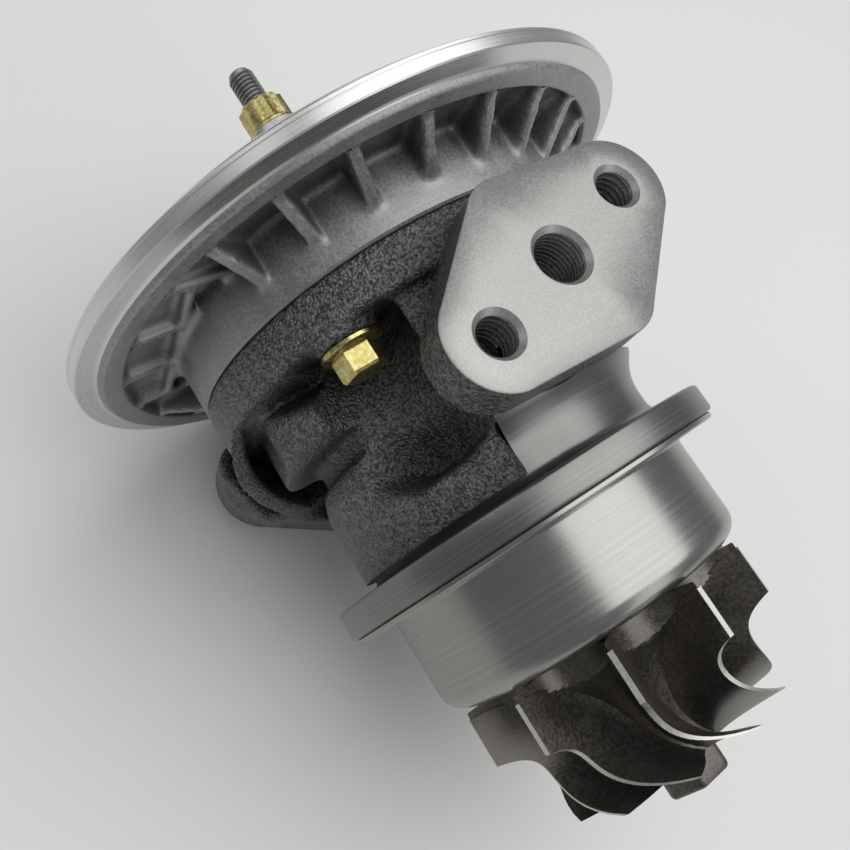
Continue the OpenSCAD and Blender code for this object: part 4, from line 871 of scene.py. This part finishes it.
def wheel_blade(start):
    """The rule for a blade's points: a full one from share 0, a splitter from a later share."""
    def point(u, s, side):
        """A point by its share along this blade, its share of height, and its side."""
        t = start + (1 - start) * u
        sine, cosine = quarter(t)
        foot_x, foot_r = wheel_hub(t)
        tip_x = WHEEL_FRONT + (WHEEL_LEN - OUTLET_H) * sine
        tip_r = WHEEL_R - (WHEEL_R - INDUCER_R) * cosine
        x = (foot_x + ROOT_SINK * sine) * (1 - s) + tip_x * s
        r = (foot_r - ROOT_SINK * cosine) * (1 - s) + tip_r * s
        sweep = INLET_TURN * (1 - t) ** INLET_POWER - OUTLET_TURN * t * t
        thickness = FOOT_T - THINNING * s + FOOT_FILLET * max(0, 1 - s / FOOT_HEIGHT) ** 2
        return x, r, math.radians(sweep) + side * thickness / 2 / r
    return point


wheel_disc = [(WHEEL_BACK, WHEEL_BORE_R), (WHEEL_BACK, WHEEL_R - HUB_SINK - DISC_EDGE),
              (WHEEL_BACK - DISC_EDGE, WHEEL_R - HUB_SINK)]
wheel_disc += [(x, r - HUB_SINK) for x, r in map(wheel_hub, np.linspace(1, 0, 40))]
wheel_disc += [(WHEEL_FRONT - NOSE_FLARE, NOSE_R), (WHEEL_TIP + NOSE_EDGE, NOSE_R),
               (WHEEL_TIP, NOSE_R - NOSE_EDGE), (WHEEL_TIP, WHEEL_BORE_R), (WHEEL_BACK, WHEEL_BORE_R)]
wheel = spun(wheel_disc)
for k in range(2 * FULL_BLADES):
    joined(wheel, turned_by(blade(wheel_blade(SPLITTER * (k % 2))), k * 180 / FULL_BLADES), AS_CAST)
piece(wheel, "compressor_wheel_casting", [wheel_alloy], "rotor", "wheel_aluminium", "compressor_wheel")

# Shaft nut
# A twelve-point flange nut of steel, zinc plated yellow like the bolts.
# It is screwed on the shaft's rolled thread and clamps the compressor wheel.
NUT_POINT_R, NUT_TIP, NUT_TURN, NUT_CHAMFER = 5.3, -40.8, 10, 0.5
NUT_NOTCH_R = NUT_POINT_R * math.cos(math.radians(30)) / math.cos(math.radians(15))
NUT_BORE_R, NUT_COLLAR_R, NUT_COLLAR_EDGE, NUT_FOOT, NUT_COLLAR_END = 3.0, 5.8, 0.2, 1.3, 1.7
nut_steps = [(0, NUT_BORE_R), (0, NUT_COLLAR_R - NUT_COLLAR_EDGE), (NUT_COLLAR_EDGE, NUT_COLLAR_R),
             (0.9, NUT_COLLAR_R), (1.5, 5.2), (NUT_COLLAR_END, 4.4), (NUT_COLLAR_END, NUT_BORE_R)]
nut = spun([(WHEEL_TIP - along, r) for along, r in nut_steps], 64)
joined(nut, headed([NUT_POINT_R, NUT_NOTCH_R] * 12, NUT_TURN, WHEEL_TIP - NUT_FOOT, NUT_TIP, NUT_CHAMFER))
piece(nut, "twelve_point_nut", [yellow_zinc], "rotor", "plated_steel", "shaft_nut")

# Table, lights and camera
# A pale matt table top under one broad soft lamp, with two small lamps that draw lines on the turned metal.
# The camera stands where the photograph's did, found from the round edges of the cartridge.
FLOOR_Z, TABLE_HALF = cad_box[0][2], 3.0
plane = bmesh.new()
bmesh.ops.create_grid(plane, x_segments=1, y_segments=1, size=TABLE_HALF)
bmesh.ops.translate(plane, verts=plane.verts, vec=(0, 0, FLOOR_Z))
table_top = bpy.data.materials.new("table_top")
table_top.use_nodes = True
paint = table_top.node_tree.nodes["Principled BSDF"]
paint.inputs["Base Color"].default_value = (0.74, 0.74, 0.725, 1)
paint.inputs["Roughness"].default_value = 0.7
table_mesh = bpy.data.meshes.new("table")
plane.to_mesh(table_mesh)
plane.free()
table_mesh.materials.append(table_top)
table = bpy.data.objects.new("table", table_mesh)
bpy.context.scene.collection.objects.link(table)


LAMP_AIM = Vector((0.04, 0, 0))


def soft_lamp(name, place, size, power):
    """A flat lamp aimed at the middle of the cartridge."""
    lamp = bpy.data.lights.new(name, "AREA")
    lamp.shape = "RECTANGLE"
    lamp.size, lamp.size_y = size
    lamp.energy = power
    holder = bpy.data.objects.new(name, lamp)
    holder.location = place
    holder.rotation_euler = (LAMP_AIM - Vector(place)).to_track_quat("-Z", "Y").to_euler()
    bpy.context.scene.collection.objects.link(holder)


soft_lamp("lamp_top", (0.05, 0.24, 0.90), size=(1.2, 1.2), power=9.4)
soft_lamp("lamp_left", (-0.55, -0.45, 0.45), size=(0.4, 0.6), power=0.7)
soft_lamp("lamp_right", (0.65, 0.20, 0.35), size=(0.3, 0.6), power=0.7)
world = bpy.data.worlds.new("studio")
world.use_nodes = True
sky = world.node_tree.nodes["Background"]
sky.inputs["Color"].default_value = (0.80, 0.81, 0.82, 1)
sky.inputs["Strength"].default_value = 0.3
bpy.context.scene.world = world

RIGHT = Vector((0.5357, 0.7797, 0.3242))
DOWN = Vector((0.8188, -0.3859, -0.4250))
AHEAD = Vector((-0.2062, 0.4931, -0.8452))
CAMERA_AT = Vector((64.450, -92.208, 157.982)) * MM
FOCAL_PX, CENTRE_Y_PX, IMAGE_PX = 929.39, 360.24, 850
view = bpy.data.cameras.new("camera")
view.sensor_width = 36.0
view.lens = FOCAL_PX / IMAGE_PX * view.sensor_width
view.shift_y = (CENTRE_Y_PX - IMAGE_PX / 2) / IMAGE_PX
view.clip_start = 0.01
camera = bpy.data.objects.new("camera", view)
camera_turn = Matrix((RIGHT, -DOWN, -AHEAD)).transposed()
camera.matrix_world = Matrix.Translation(CAMERA_AT) @ camera_turn.to_4x4()
bpy.context.scene.collection.objects.link(camera)
bpy.context.scene.camera = camera
bpy.context.scene.view_settings.view_transform = "Standard"
